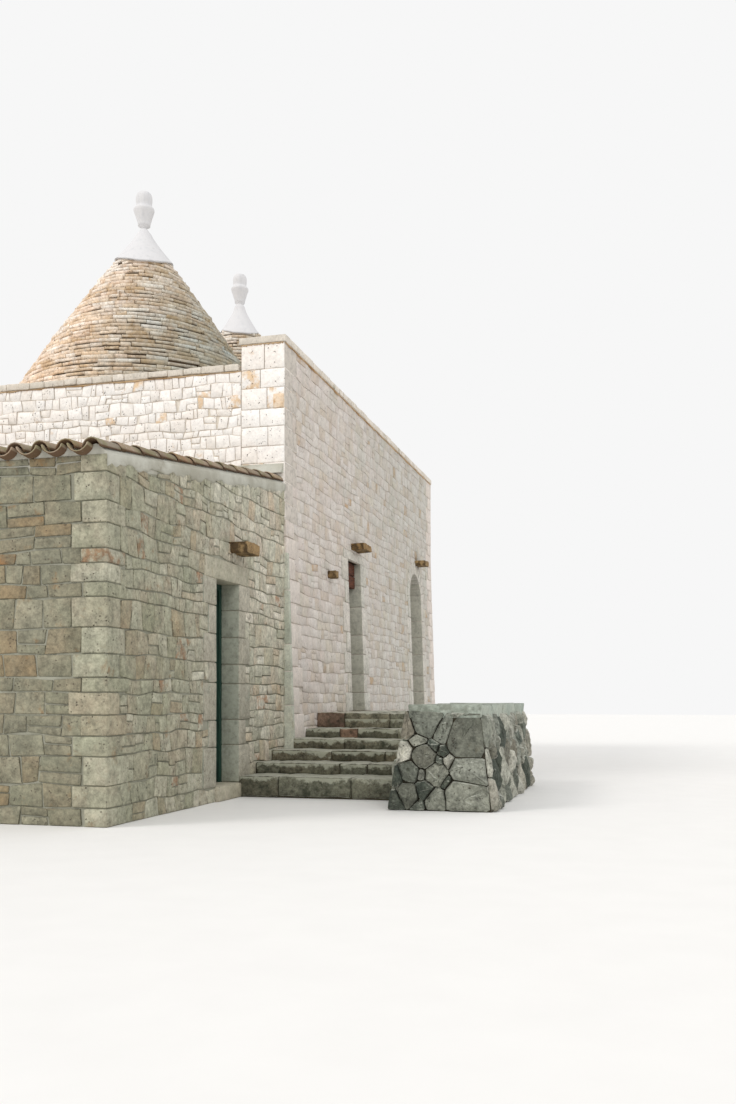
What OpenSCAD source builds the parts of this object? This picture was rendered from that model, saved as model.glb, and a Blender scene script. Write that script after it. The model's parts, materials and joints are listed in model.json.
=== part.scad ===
// Trullo house: a long walled block with two dry-stone cones and a tiled annex in front.
// Lengths are in millimetres. While a piece is drawn, X = 0 is the upper face of the facade
// with +X pointing out of it, Y = 0 is the front of the main block and Z = 0 the lowest ground.

/* [Main block] */
// Length of the block along its facade
block_l = 8340; // [8300:20:9500]
// Width of the block across the facade
block_w = 6500; // [6200:20:7200]
// Thickness of the facade wall above its batter
facade_t = 530; // [480:10:620]
// Thickness of the other walls of the block
wall_t = 550; // [450:10:600]
// How far the foot of the facade stands out from its upper face
batter = 120; // [20:5:180]
// Height over the ground where the batter ends
batter_top = 3550; // [3300:10:3700]
// Height of the block's floor over the lowest ground
main_floor_h = 835; // [700:5:900]

/* [Terrace and parapets] */
// Height of the terrace roof over the lowest ground
terrace_h = 4700; // [4400:10:5000]
// Thickness of the terrace roof
terrace_t = 400; // [250:10:500]
// Height of the plain parapets over the terrace, coping included
parapet_h = 270; // [200:5:400]
// Height of the facade's parapet over the terrace, coping included
facade_parapet_h = 570; // [420:5:700]
// Thickness of the coping slabs
coping_t = 90; // [50:5:110]
// How far a coping slab stands out from its wall
coping_lip = 30; // [10:5:60]

/* [Cones] */
// Radius of the first cone at the terrace
cone_1_r = 2230; // [2000:10:2260]
// Radius of the second cone at the terrace
cone_2_r = 1770; // [1600:10:1800]
// How much nearer to the facade the axis of the second cone lies
cone_2_nearer = 240; // [0:10:400]
// Height of each cone from the terrace to the foot of its cap
cone_h = 2870; // [2600:10:3100]
// Swelling of a cone's slope halfway up
cone_bulge = 70; // [30:5:120]
// Radius of the first cone under its cap
cone_1_top_r = 400; // [350:5:450]
// Radius of the second cone under its cap
cone_2_top_r = 350; // [300:5:400]
// Number of stone courses in a cone
courses = 42; // [30:1:48]
// How far the top of a course falls outward, to shed the rain
course_fall = 10; // [0:1:15]
// Gap between the foot of a cone and the parapet beside it
cone_gap = 20; // [10:5:60]
// Radius of the first dome's hollow at its foot
dome_1_r = 1500; // [1300:10:1600]
// Radius of the second dome's hollow at its foot
dome_2_r = 1000; // [900:10:1150]
// Height of the hollows over the terrace
dome_h = 2250; // [2000:10:2300]
// Radius of the closing stone over a hollow
dome_top_r = 120; // [80:5:160]

/* [Caps and pinnacles] */
// How far the rim of a plaster cap stands out over the last course
cap_over = 40; // [10:5:60]
// Height of the plaster cap
cap_h = 540; // [480:10:600]
// Radius of the neck between cap and ring
neck_r = 83; // [70:1:100]
// Height of the slender part, from the cap to the top
pinnacle_h = 560; // [500:10:620]
// Radius of the ring under the knob
ring_r = 164; // [140:1:180]
// Radius of the knob
knob_r = 109; // [95:1:120]
// Height of the knob
knob_h = 240; // [200:5:260]

/* [Annex] */
// Length of the annex in front of the main block
annex_l = 4110; // [3900:10:4400]
// Thickness of the annex walls
annex_t = 450; // [400:10:550]
// Height of the annex floor and of its sill over the lowest ground
annex_floor_h = 150; // [130:5:200]
// Height of the front wall at its outer face
eaves_h = 2830; // [2750:10:2950]
// Slope of the annex roof, in degrees
roof_pitch = 8; // [6:0.5:10]
// Thickness of the roof slab under the tiles
deck_t = 120; // [80:5:160]
// How far the tiles stand out over the front wall
eaves_lip = 70; // [40:5:120]
// How far the tiles stand out over the side walls
verge_lip = 25; // [10:5:50]
// Distance between two rows of barrel tiles
tile_pitch = 225; // [190:5:250]
// Height of a barrel tile's crest over its valley
tile_rise = 75; // [50:5:85]
// Bed of mortar and tile under the valleys
tile_bed = 45; // [30:5:60]

/* [Annex door] */
// Clear width of the annex doorway between its jambs
annex_door_w = 600; // [560:10:800]
// Height of the annex doorway
annex_door_h = 2050; // [1950:10:2100]
// Distance from the main block to the far jamb of the annex doorway
annex_door_at = 1400; // [1300:10:1500]
// Distance from the wall's face to the outer face of the door
door_recess = 200; // [150:5:230]
// Thickness of the door leaf
leaf_t = 45; // [35:1:60]
// Width of the timber frame's posts
frame_w = 50; // [40:1:60]
// Depth of the timber frame
frame_d = 60; // [50:1:75]
// Gap round the closed leaf
leaf_gap = 5; // [5:0.5:8]
// Width of the bead that the leaf closes against
stop_w = 16; // [12:1:20]
// Radius of a hinge pin
pin_r = 7; // [6:0.5:9]
// Running gap between a hinge pin and its eye
pin_gap = 0.1; // [0.05:0.05:0.3]
// Wall of the hinge eyes
eye_wall = 6.5; // [5:0.5:8]
// Height of a hinge eye
eye_h = 50; // [40:1:70]
// Length of a strap on the leaf
strap_l = 330; // [250:5:400]
// Width of a strap
strap_w = 38; // [30:1:45]
// Thickness of a strap
strap_t = 5; // [4:0.5:7]
// Distance from an end of the leaf to the middle of a strap
strap_in = 260; // [180:5:350]
// Height of the stone over the annex doorway
annex_lintel_h = 200; // [160:5:240]
// Bearing of that stone on each side
annex_lintel_bearing = 260; // [200:10:300]

/* [Facade openings] */
// Distance from the front of the block to the main doorway
main_door_at = 2540; // [2400:10:2700]
// Width of the main doorway
main_door_w = 660; // [640:10:900]
// Height of the main doorway over the floor
main_door_h = 2145; // [2000:5:2150]
// Height of the timber lintel over the main doorway
main_lintel_h = 130; // [100:5:160]
// Bearing of the timber lintel on each side
main_lintel_bearing = 200; // [150:10:250]
// Distance from the front of the block to the arched doorway
arch_at = 6440; // [6300:10:6500]
// Width of the arched doorway
arch_w = 910; // [850:10:950]
// Height of the arch's crown over the floor
arch_h = 2445; // [2300:5:2500]
// Thickness of the door sills
sill_t = 90; // [60:5:120]
// How far a sill stands out from the wall
sill_lip = 40; // [20:5:60]

/* [Projecting slabs] */
// Thickness of the slabs over the doorways
slab_t = 100; // [60:5:120]
// How far these slabs stand out from the wall
slab_out = 200; // [150:10:260]
// How deep these slabs are built into the wall
slab_in = 180; // [120:10:220]
// Height of the main doorway's slab over the lintel
main_slab_up = 25; // [15:5:60]
// Length of the main doorway's slab
main_slab_l = 430; // [380:10:500]
// How far the middle of that slab lies past the middle of the doorway
main_slab_past = 95; // [0:5:120]
// Height of the arch's slab over the crown
arch_slab_up = 150; // [110:5:200]
// Length of the arch's slab
arch_slab_l = 320; // [280:10:400]
// How far the middle of that slab lies past the middle of the arch
arch_slab_past = 195; // [100:5:220]
// Height of the annex slab over its lintel
annex_slab_up = 90; // [60:5:140]
// Thickness of the annex slab
annex_slab_t = 120; // [90:5:150]
// Length of the annex slab
annex_slab_l = 350; // [300:10:450]
// How far the annex slab reaches past the far jamb of the doorway
annex_slab_past = 100; // [60:5:150]
// Length of the small bracket stone in the facade
bracket_l = 150; // [120:10:220]
// Thickness of the bracket stone
bracket_t = 100; // [80:5:130]
// How far the bracket stone stands out from the wall
bracket_out = 120; // [90:5:160]
// Height of the bracket stone over the floor
bracket_up = 1765; // [1700:5:1850]
// Distance from the front of the block to the bracket stone
bracket_at = 1570; // [1450:10:1700]

/* [Steps] */
// Distance from the annex doorway to the foot of the first step
steps_past_door = 20; // [10:5:100]
// Depth of a tread
tread = 466; // [420:2:500]
// Rise of a step
riser = 111; // [100:1:125]
// Width of the steps from the wall to the cheek wall
steps_w = 1800; // [1500:10:2000]
// Length of the landing past the main doorway
landing_past = 180; // [100:10:400]
// Width of the cheek wall at its foot
cheek_w = 840; // [700:10:900]
// How much the cheek wall leans back on each side
cheek_batter = 100; // [50:5:140]
// Length of the cheek wall before the first step
cheek_before = 850; // [600:10:1000]
// Height of the cheek wall, slab included
cheek_h = 970; // [900:5:1050]
// Thickness of the slab on the cheek wall
cheek_slab_t = 90; // [60:5:120]

/* [Hidden] */

// Fineness of round faces, and how far a cut runs past what it cuts
round_fn = 96;
past = 10;

// Joint left open along sloping and turned faces, so that neighbours don't cut into each other
joint_gap = 0.3;

// The annex is as wide as the block that it leans on
annex_w = block_w;

// The whole house, measured along each axis, to bring the middle of its base to the origin
house_left = -max(block_w + coping_lip, annex_w + verge_lip);
house_right = batter + steps_w + cheek_w;
house_front = -annex_l - eaves_lip - (tile_bed + tile_rise) * sin(roof_pitch);
house_back = block_l + coping_lip;

// Tops of the walls under their copings
wall_h = terrace_h + parapet_h - coping_t;
facade_h = terrace_h + facade_parapet_h - coping_t;

// Cone axes: the first cone stands in the middle of the terrace's width, and each cone
// against the parapet at its own end of the block
cone_1_x = -(facade_t + block_w - wall_t) / 2;
cone_1_y = wall_t + cone_gap + cone_1_r;
cone_2_x = cone_1_x + cone_2_nearer;
cone_2_y = block_l - wall_t - cone_gap - cone_2_r;
axis_gap = norm([cone_2_x - cone_1_x, cone_2_y - cone_1_y]);
axis_turn = atan2(cone_1_x - cone_2_x, cone_2_y - cone_1_y);
dome_rings = 12;
// Distance from the first axis to the valley where the two feet meet
valley_1 = (axis_gap * axis_gap + cone_1_r * cone_1_r - cone_2_r * cone_2_r) / (2 * axis_gap)
           - joint_gap / 2;
valley_2 = axis_gap - valley_1 - joint_gap;

// Cap and pinnacle, from the foot of the cap upward
cap_z = terrace_h + cone_h;
cap_rim_t = 15;
cap_seat = 10;
cap_rings = 10;
cap_sweep = 1.08;
pinnacle_z = cap_z + cap_h;
ring_up = 190;
ring_flare = 33;
ring_flare_h = 78;
knob_up = pinnacle_h - knob_h;
knob_round = 40;
knob_rings = 6;

// Annex roof: height of the wall tops and of the roof slab's underside and top along the annex
function slope_z(y) = eaves_h + (y + annex_l) * tan(roof_pitch);
function deck_z(y) = slope_z(y) + joint_gap;
function tiles_z(y) = deck_z(y) + deck_rise + joint_gap;
roof_run = (annex_l + eaves_lip) / cos(roof_pitch);
roof_w = annex_w + 2 * verge_lip;
deck_rise = deck_t / cos(roof_pitch);
flash_h = 130;
flash_w = 120;
tile_facets = 8;
tiles_h = tile_bed + tile_rise;
tiles_run = roof_run - tiles_h * tan(roof_pitch);

// Annex doorway, its timber frame and its leaf
door_y1 = -annex_door_at;
door_y0 = door_y1 - annex_door_w;
door_z0 = annex_floor_h;
door_z1 = annex_floor_h + annex_door_h;
leaf_x1 = -door_recess;
leaf_x0 = leaf_x1 - leaf_t;
leaf_y0 = door_y0 + frame_w + leaf_gap;
leaf_y1 = door_y1 - frame_w - leaf_gap;
leaf_z0 = door_z0 + leaf_gap;
leaf_z1 = door_z1 - frame_w - leaf_gap;
eye_r = pin_r + pin_gap + eye_wall;
hinge_x = leaf_x0 - eye_r;
hinge_y = leaf_y1 + leaf_gap / 2;
frame_x0 = leaf_x0 + leaf_gap;
frame_x1 = frame_x0 + frame_d;
shoulder_h = 24;
shoulder_gap = 0.3;
shoulder_in = 1;
pin_past = 4;
hinge_levels = [leaf_z0 + strap_in, leaf_z1 - strap_in];

// Facade doorways, the timber lintel a little behind the wall's face
lintel_set = 30;
main_door_y1 = main_door_at + main_door_w;
main_door_z1 = main_floor_h + main_door_h;
main_lintel_z1 = main_door_z1 + main_lintel_h;
arch_y1 = arch_at + arch_w;
arch_r = arch_w / 2;
arch_z1 = main_floor_h + arch_h;
arch_spring = arch_z1 - arch_r;
// Where the outer face of the facade lies at a height
function face_x(z) = batter * max(0, 1 - z / batter_top);

// Steps: level of a tread and place of its riser, the landing being the last
steps = 5;
steps_at = annex_door_at - steps_past_door;
function step_z(i) = steps_foot + i * riser;
function step_y(i) = -steps_at + (i - 1) * tread;
steps_foot = 100;
steps_x1 = batter + steps_w;
landing_y1 = main_door_y1 + landing_past;
cheek_y0 = -steps_at - cheek_before;
cheek_y1 = step_y(steps + 1);

// A flat outline in X and Z drawn along Y, and one in Y and Z drawn along X
module along_y(y0, y1) {
    translate([0, y1, 0]) rotate([90, 0, 0]) linear_extrude(y1 - y0) children();
}
module along_x(x0, x1) {
    translate([x0, 0, 0]) rotate([90, 0, 90]) linear_extrude(x1 - x0) children();
}

// A block given by its lowest and its highest corner
module block(low, high) {
    translate(low) cube(high - low);
}

// Puts the middle of the base of the house at the origin
module at_middle() {
    translate([-(house_left + house_right) / 2, -(house_front + house_back) / 2, 0]) children();
}

// Annex: a low room whose roof leans on the main block

module annex_floor() {
    color("tan") at_middle()
        block([annex_t - annex_w, annex_t - annex_l, 0], [-annex_t, 0, annex_floor_h]);
}

module annex_wall_outline(y0, y1) {
    polygon([[y0, 0], [y1, 0], [y1, slope_z(y1)], [y0, slope_z(y0)]]);
}

module annex_front_wall() {
    color("antiquewhite") at_middle()
        along_x(-annex_w, 0) annex_wall_outline(-annex_l, annex_t - annex_l);
}

module annex_left_wall() {
    color("antiquewhite") at_middle()
        along_x(-annex_w, annex_t - annex_w) annex_wall_outline(annex_t - annex_l, 0);
}

module annex_lintel_block(grow) {
    block([-annex_t - grow, door_y0 - annex_lintel_bearing, door_z1],
          [grow, door_y1 + annex_lintel_bearing, door_z1 + annex_lintel_h]);
}

module annex_right_wall_near() {
    color("antiquewhite") at_middle() difference() {
        along_x(-annex_t, 0) annex_wall_outline(annex_t - annex_l, door_y0);
        annex_lintel_block(past);
    }
}

module annex_right_wall_far() {
    color("antiquewhite") at_middle() difference() {
        along_x(-annex_t, 0) annex_wall_outline(door_y1, 0);
        annex_lintel_block(past);
        annex_slab_block();
    }
}

module annex_wall_over_door() {
    color("antiquewhite") at_middle() difference() {
        along_x(-annex_t, 0) polygon([
            [door_y0, door_z1 + annex_lintel_h], [door_y1, door_z1 + annex_lintel_h],
            [door_y1, slope_z(door_y1)], [door_y0, slope_z(door_y0)]]);
        annex_slab_block();
    }
}

module annex_door_lintel() {
    color("wheat") at_middle() annex_lintel_block(0);
}

// A sill that stands out a little, on the masonry that closes the wall below it
module annex_door_sill() {
    color("lightgray") at_middle() along_y(door_y0, door_y1) polygon([
        [-annex_t, 0], [0, 0], [0, annex_floor_h - sill_t], [sill_lip, annex_floor_h - sill_t],
        [sill_lip, annex_floor_h], [-annex_t, annex_floor_h]]);
}

// Two posts and a head in the doorway, with a bead outside the leaf, and a lug and an
// upright pin for each hinge
module annex_door_frame() {
    color("darkslategray") at_middle() {
        difference() {
            block([frame_x0, door_y0, door_z0], [frame_x1, door_y1, door_z1]);
            block([frame_x0 - past, door_y0 + frame_w, door_z0 - past],
                  [leaf_x1 + leaf_gap, door_y1 - frame_w, door_z1 - frame_w]);
            block([frame_x0 - past, door_y0 + frame_w + stop_w, door_z0 - past],
                  [frame_x1 + past, door_y1 - frame_w - stop_w, door_z1 - frame_w - stop_w]);
        }
        for (z = hinge_levels) hinge_pin(z - eye_h / 2 - shoulder_gap);
    }
}

// A lug on the frame that carries the eye of a strap at one level, with its pin
module hinge_pin(shoulder_z) {
    block([hinge_x, hinge_y, shoulder_z - shoulder_h],
          [frame_x0, door_y1 - frame_w / 2, shoulder_z]);
    translate([hinge_x, hinge_y, shoulder_z - shoulder_h]) {
        cylinder(h = shoulder_h, r = eye_r - shoulder_in, $fn = round_fn);
        cylinder(h = shoulder_h + shoulder_gap + eye_h + pin_past, r = pin_r, $fn = round_fn);
    }
}

// The leaf with the straps and eyes that hang it on the pins
module annex_door() {
    color("seagreen") at_middle() difference() {
        union() {
            block([leaf_x0, leaf_y0, leaf_z0], [leaf_x1, leaf_y1, leaf_z1]);
            for (z = hinge_levels) {
                block([leaf_x0 - strap_t, leaf_y1 - strap_l, z - strap_w / 2],
                      [leaf_x0, leaf_y1, z + strap_w / 2]);
                translate([hinge_x, hinge_y, z - eye_h / 2])
                    cylinder(h = eye_h, r = eye_r, $fn = round_fn);
            }
        }
        for (z = hinge_levels)
            translate([hinge_x, hinge_y, z - eye_h / 2 - past])
                cylinder(h = eye_h + 2 * past, r = pin_r + pin_gap, $fn = round_fn);
    }
}

// Roof slab, its edges flush with the walls
module annex_roof_deck() {
    color("gainsboro") at_middle() along_x(-annex_w, 0) polygon([
        [-annex_l, deck_z(-annex_l)], [0, deck_z(0)],
        [0, deck_z(0) + deck_rise], [-annex_l, deck_z(-annex_l) + deck_rise]]);
}

// Barrel tiles: an even wave of crests and valleys on a flat bed
module annex_roof_tiles() {
    rows = round(roof_w / tile_pitch);
    wave = roof_w / rows;
    function crest(i) = tile_bed + tile_rise * (1 - cos(360 * i / tile_facets)) / 2;
    color("sandybrown") at_middle()
        translate([-annex_w - verge_lip, -annex_l - eaves_lip, tiles_z(-annex_l - eaves_lip)])
        rotate([roof_pitch, 0, 0]) translate([0, tiles_run, 0]) rotate([90, 0, 0])
        linear_extrude(tiles_run) polygon(concat(
            [for (i = [0 : rows * tile_facets]) [i * wave / tile_facets, crest(i)]],
            [[roof_w, 0], [0, 0]]));
}

// Mortar fillet where the tiles meet the main block
module annex_roof_flashing() {
    foot = tiles_z(0) + tiles_h / cos(roof_pitch) + joint_gap;
    color("whitesmoke") at_middle() along_x(-annex_w - verge_lip, 0) polygon([
        [0, foot], [0, foot + flash_h], [-flash_w, foot - flash_w * tan(roof_pitch)]]);
}

// Main block: four walls, a floor and a terrace roof

module main_floor() {
    color("tan") at_middle()
        block([wall_t - block_w, wall_t, 0], [-facade_t, block_l - wall_t, main_floor_h]);
}

module main_front_wall() {
    color("antiquewhite") at_middle()
        block([-block_w, 0, 0], [-facade_t, wall_t, wall_h]);
}

module main_left_wall() {
    color("antiquewhite") at_middle()
        block([-block_w, wall_t, 0], [wall_t - block_w, block_l - wall_t, wall_h]);
}

module main_back_wall() {
    color("antiquewhite") at_middle()
        block([-block_w, block_l - wall_t, 0], [-facade_t, block_l, wall_h]);
}

// Cross-section of the facade wall from one height up to its top
module facade_outline(z0) {
    polygon([[-facade_t, z0], [face_x(z0), z0], [0, batter_top], [0, facade_h],
             [-facade_t, facade_h]]);
}

module main_lintel_block() {
    block([-facade_t, main_door_at - main_lintel_bearing, main_door_z1],
          [face_x(main_door_z1) - lintel_set, main_door_y1 + main_lintel_bearing, main_lintel_z1]);
}

module facade_near() {
    color("linen") at_middle() difference() {
        along_y(0, main_door_at) facade_outline(0);
        main_lintel_block();
        main_slab_block();
        bracket_block();
    }
}

module facade_middle() {
    color("linen") at_middle() difference() {
        along_y(main_door_y1, arch_at) facade_outline(0);
        main_lintel_block();
        main_slab_block();
    }
}

module facade_far() {
    color("linen") at_middle()
        along_y(arch_y1, block_l) facade_outline(0);
}

module facade_over_main_door() {
    color("linen") at_middle() difference() {
        along_y(main_door_at, main_door_y1) facade_outline(main_door_z1);
        main_lintel_block();
        main_slab_block();
    }
}

// The wall over the arched doorway, with the half round of the arch cut out of it
module facade_over_arch() {
    color("linen") at_middle() difference() {
        along_y(arch_at, arch_y1) facade_outline(arch_spring);
        translate([-facade_t - past, (arch_at + arch_y1) / 2, arch_spring]) rotate([0, 90, 0])
            cylinder(h = facade_t + batter + 2 * past, r = arch_r, $fn = round_fn);
        arch_slab_block();
    }
}

module main_door_lintel() {
    color("saddlebrown") at_middle() main_lintel_block();
}

// A stone sill in each facade doorway, on the masonry that closes the wall below it
module doorway_sill(y0, y1) {
    along_y(y0, y1) polygon([[-facade_t, 0], [batter, 0],
        [face_x(main_floor_h - sill_t), main_floor_h - sill_t],
        [face_x(main_floor_h - sill_t) + sill_lip, main_floor_h - sill_t],
        [face_x(main_floor_h - sill_t) + sill_lip, main_floor_h], [-facade_t, main_floor_h]]);
}

module facade_sills() {
    color("lightgray") at_middle() {
        difference() {
            doorway_sill(main_door_at, main_door_y1);
            landing_block();
        }
        doorway_sill(arch_at, arch_y1);
    }
}

module main_slab_block() {
    middle = (main_door_at + main_door_y1) / 2 + main_slab_past;
    z0 = main_lintel_z1 + main_slab_up;
    block([-slab_in, middle - main_slab_l / 2, z0],
          [slab_out, middle + main_slab_l / 2, z0 + slab_t]);
}

module arch_slab_block() {
    middle = (arch_at + arch_y1) / 2 + arch_slab_past;
    z0 = arch_z1 + arch_slab_up;
    block([-slab_in, middle - arch_slab_l / 2, z0],
          [slab_out, middle + arch_slab_l / 2, z0 + slab_t]);
}

module annex_slab_block() {
    z0 = door_z1 + annex_lintel_h + annex_slab_up;
    y1 = door_y1 + annex_slab_past;
    block([-slab_in, y1 - annex_slab_l, z0], [slab_out, y1, z0 + annex_slab_t]);
}

module bracket_block() {
    z0 = main_floor_h + bracket_up;
    block([-slab_in, bracket_at, z0],
          [face_x(z0) + bracket_out, bracket_at + bracket_l, z0 + bracket_t]);
}

module projecting_slabs() {
    color("burlywood") at_middle() {
        main_slab_block();
        arch_slab_block();
        annex_slab_block();
        bracket_block();
    }
}

module facade_coping() {
    color("ghostwhite") at_middle()
        block([-facade_t - coping_lip, -coping_lip, facade_h],
              [coping_lip, block_l + coping_lip, facade_h + coping_t]);
}

module end_copings() {
    color("ghostwhite") at_middle() {
        block([-block_w - coping_lip, -coping_lip, wall_h],
              [-facade_t, wall_t, wall_h + coping_t]);
        block([-block_w - coping_lip, block_l - wall_t, wall_h],
              [-facade_t, block_l + coping_lip, wall_h + coping_t]);
    }
}

module left_coping() {
    color("ghostwhite") at_middle()
        block([-block_w - coping_lip, wall_t, wall_h],
              [wall_t - block_w + coping_lip, block_l - wall_t, wall_h + coping_t]);
}

module terrace_roof() {
    color("gainsboro") at_middle() difference() {
        block([wall_t - block_w, wall_t, terrace_h - terrace_t],
              [-facade_t, block_l - wall_t, terrace_h]);
        translate([cone_1_x, cone_1_y, terrace_h - terrace_t - past])
            cylinder(h = terrace_t + 2 * past, r = dome_1_r, $fn = round_fn);
        translate([cone_2_x, cone_2_y, terrace_h - terrace_t - past])
            cylinder(h = terrace_t + 2 * past, r = dome_2_r, $fn = round_fn);
    }
}

// Cones: corbelled shells whose courses draw in along a slightly swollen slope

// Radius of a slope between two radii at a share of its height
function slope_r(foot, top, share) = foot + (top - foot) * share + cone_bulge * 4 * share * (1 - share);

// Flat stones laid in rings: each ring stands back from the one below, and its top falls outward
course_t = cone_h / courses;
function course_r(foot, top, k) = slope_r(foot, top, k / (courses - 1));
function courses_outline(foot, top) = [
    for (k = [0 : courses - 1]) each [
        [course_r(foot, top, k), k * course_t - (k > 0 ? course_fall : 0)],
        [course_r(foot, top, k), (k + 1) * course_t - (k < courses - 1 ? course_fall * 2 : 0)]]];

function cone_outline(foot, top, hollow) = concat(
    courses_outline(foot, top),
    [[0, cone_h], [0, dome_h]],
    [for (k = [dome_rings : -1 : 0])
        [slope_r(hollow, dome_top_r, k / dome_rings), k * dome_h / dome_rings]]);

// One half of a cone, cut off where the feet of the two cones meet
module half_cone(foot, top, hollow, turn, valley_side, valley) {
    difference() {
        rotate([0, 0, turn]) rotate_extrude(angle = 180, $fn = round_fn)
            polygon(cone_outline(foot, top, hollow));
        block([-2 * foot, valley_side > 0 ? valley : -2 * foot, -past],
              [2 * foot, valley_side > 0 ? 2 * foot : -valley, cone_h + past]);
    }
}

module first_cone(turn) {
    color("wheat") at_middle() translate([cone_1_x, cone_1_y, terrace_h])
        rotate([0, 0, axis_turn]) half_cone(cone_1_r, cone_1_top_r, dome_1_r, turn, 1, valley_1);
}

module second_cone(turn) {
    color("wheat") at_middle() translate([cone_2_x, cone_2_y, terrace_h])
        rotate([0, 0, axis_turn]) half_cone(cone_2_r, cone_2_top_r, dome_2_r, turn, -1, valley_2);
}

module cone_1_left() { first_cone(90); }
module cone_1_right() { first_cone(-90); }
module cone_2_left() { second_cone(90); }
module cone_2_right() { second_cone(-90); }

// Plaster cap: a thin rim over the last course, then a slightly hollow cone up to the neck
function cap_outline(rim) = concat(
    [[0, 0], [rim - cap_seat, 0], [rim, cap_rim_t]],
    [for (k = [1 : cap_rings]) [neck_r + (rim - neck_r) * pow(1 - k / cap_rings, cap_sweep),
                                cap_rim_t + (cap_h - cap_rim_t) * k / cap_rings]],
    [[0, cap_h]]);

module cap(x, y, rim) {
    color("white") at_middle() translate([x, y, cap_z])
        rotate_extrude($fn = round_fn) polygon(cap_outline(rim));
}

module cap_1() { cap(cone_1_x, cone_1_y, cone_1_top_r + cap_over); }
module cap_2() { cap(cone_2_x, cone_2_y, cone_2_top_r + cap_over); }

// Pinnacle: the slender top of the neck, a ring and a rounded knob
module pinnacle(x, y) {
    function knob_edge(a) = [knob_r - knob_round * (1 - cos(a)), pinnacle_h - knob_round * (1 - sin(a))];
    color("white") at_middle() translate([x, y, pinnacle_z])
        rotate_extrude($fn = round_fn) polygon(concat(
            [[0, 0], [neck_r, 0], [ring_r - ring_flare, ring_up], [ring_r, ring_up + ring_flare_h],
             [ring_r, knob_up], [knob_r, knob_up]],
            [for (k = [0 : knob_rings]) knob_edge(90 * k / knob_rings)],
            [[0, pinnacle_h]]));
}

module pinnacle_1() { pinnacle(cone_1_x, cone_1_y); }
module pinnacle_2() { pinnacle(cone_2_x, cone_2_y); }

// Steps along the walls, each a block on the ground, up to the landing before the main door

// What the steps leave free: the battered foot of the facade
module facade_foot() {
    along_y(0, block_l) polygon([
        [-facade_t, -past], [joint_gap + batter * (1 + past / batter_top), -past],
        [joint_gap, batter_top], [-facade_t, batter_top]]);
}

module step_block(i) {
    difference() {
        block([0, step_y(i), 0], [steps_x1 + cheek_batter, step_y(i + 1), step_z(i)]);
        facade_foot();
    }
}

module landing_block() {
    difference() {
        block([0, step_y(steps + 1), 0], [steps_x1, landing_y1, main_floor_h]);
        facade_foot();
    }
}

module one_step(i) {
    color("silver") at_middle() difference() {
        step_block(i);
        cheek_body();
    }
}

module step_1() { one_step(1); }
module step_2() { one_step(2); }
module step_3() { one_step(3); }
module step_4() { one_step(4); }
module step_5() { one_step(5); }
module step_landing() { color("silver") at_middle() landing_block(); }

// Dry-stone cheek wall beside the steps, leaning in on both sides, with a slab on top
module cheek_body() {
    top = cheek_h - cheek_slab_t;
    along_y(cheek_y0, cheek_y1) polygon([
        [steps_x1, -past], [steps_x1, 0], [steps_x1 + cheek_batter, top],
        [steps_x1 + cheek_w - cheek_batter, top], [steps_x1 + cheek_w, 0], [steps_x1 + cheek_w, -past]]);
}

module stair_cheek() {
    color("darkgray") at_middle() intersection() {
        cheek_body();
        block([steps_x1, cheek_y0, 0], [steps_x1 + cheek_w, cheek_y1, cheek_h]);
    }
}

module stair_cheek_slab() {
    color("whitesmoke") at_middle()
        block([steps_x1 + cheek_batter, cheek_y0, cheek_h - cheek_slab_t],
              [steps_x1 + cheek_w - cheek_batter, cheek_y1, cheek_h]);
}

annex_floor();
annex_front_wall();
annex_left_wall();
annex_right_wall_near();
annex_right_wall_far();
annex_wall_over_door();
annex_door_lintel();
annex_door_sill();
annex_door_frame();
annex_door();
annex_roof_deck();
annex_roof_tiles();
annex_roof_flashing();
main_floor();
main_front_wall();
main_left_wall();
main_back_wall();
facade_near();
facade_middle();
facade_far();
facade_over_main_door();
facade_over_arch();
main_door_lintel();
facade_sills();
projecting_slabs();
facade_coping();
end_copings();
left_coping();
terrace_roof();
cone_1_left();
cone_1_right();
cone_2_left();
cone_2_right();
cap_1();
cap_2();
pinnacle_1();
pinnacle_2();
step_1();
step_2();
step_3();
step_4();
step_5();
step_landing();
stair_cheek();
stair_cheek_slab();
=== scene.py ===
import json
import math
import random

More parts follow.
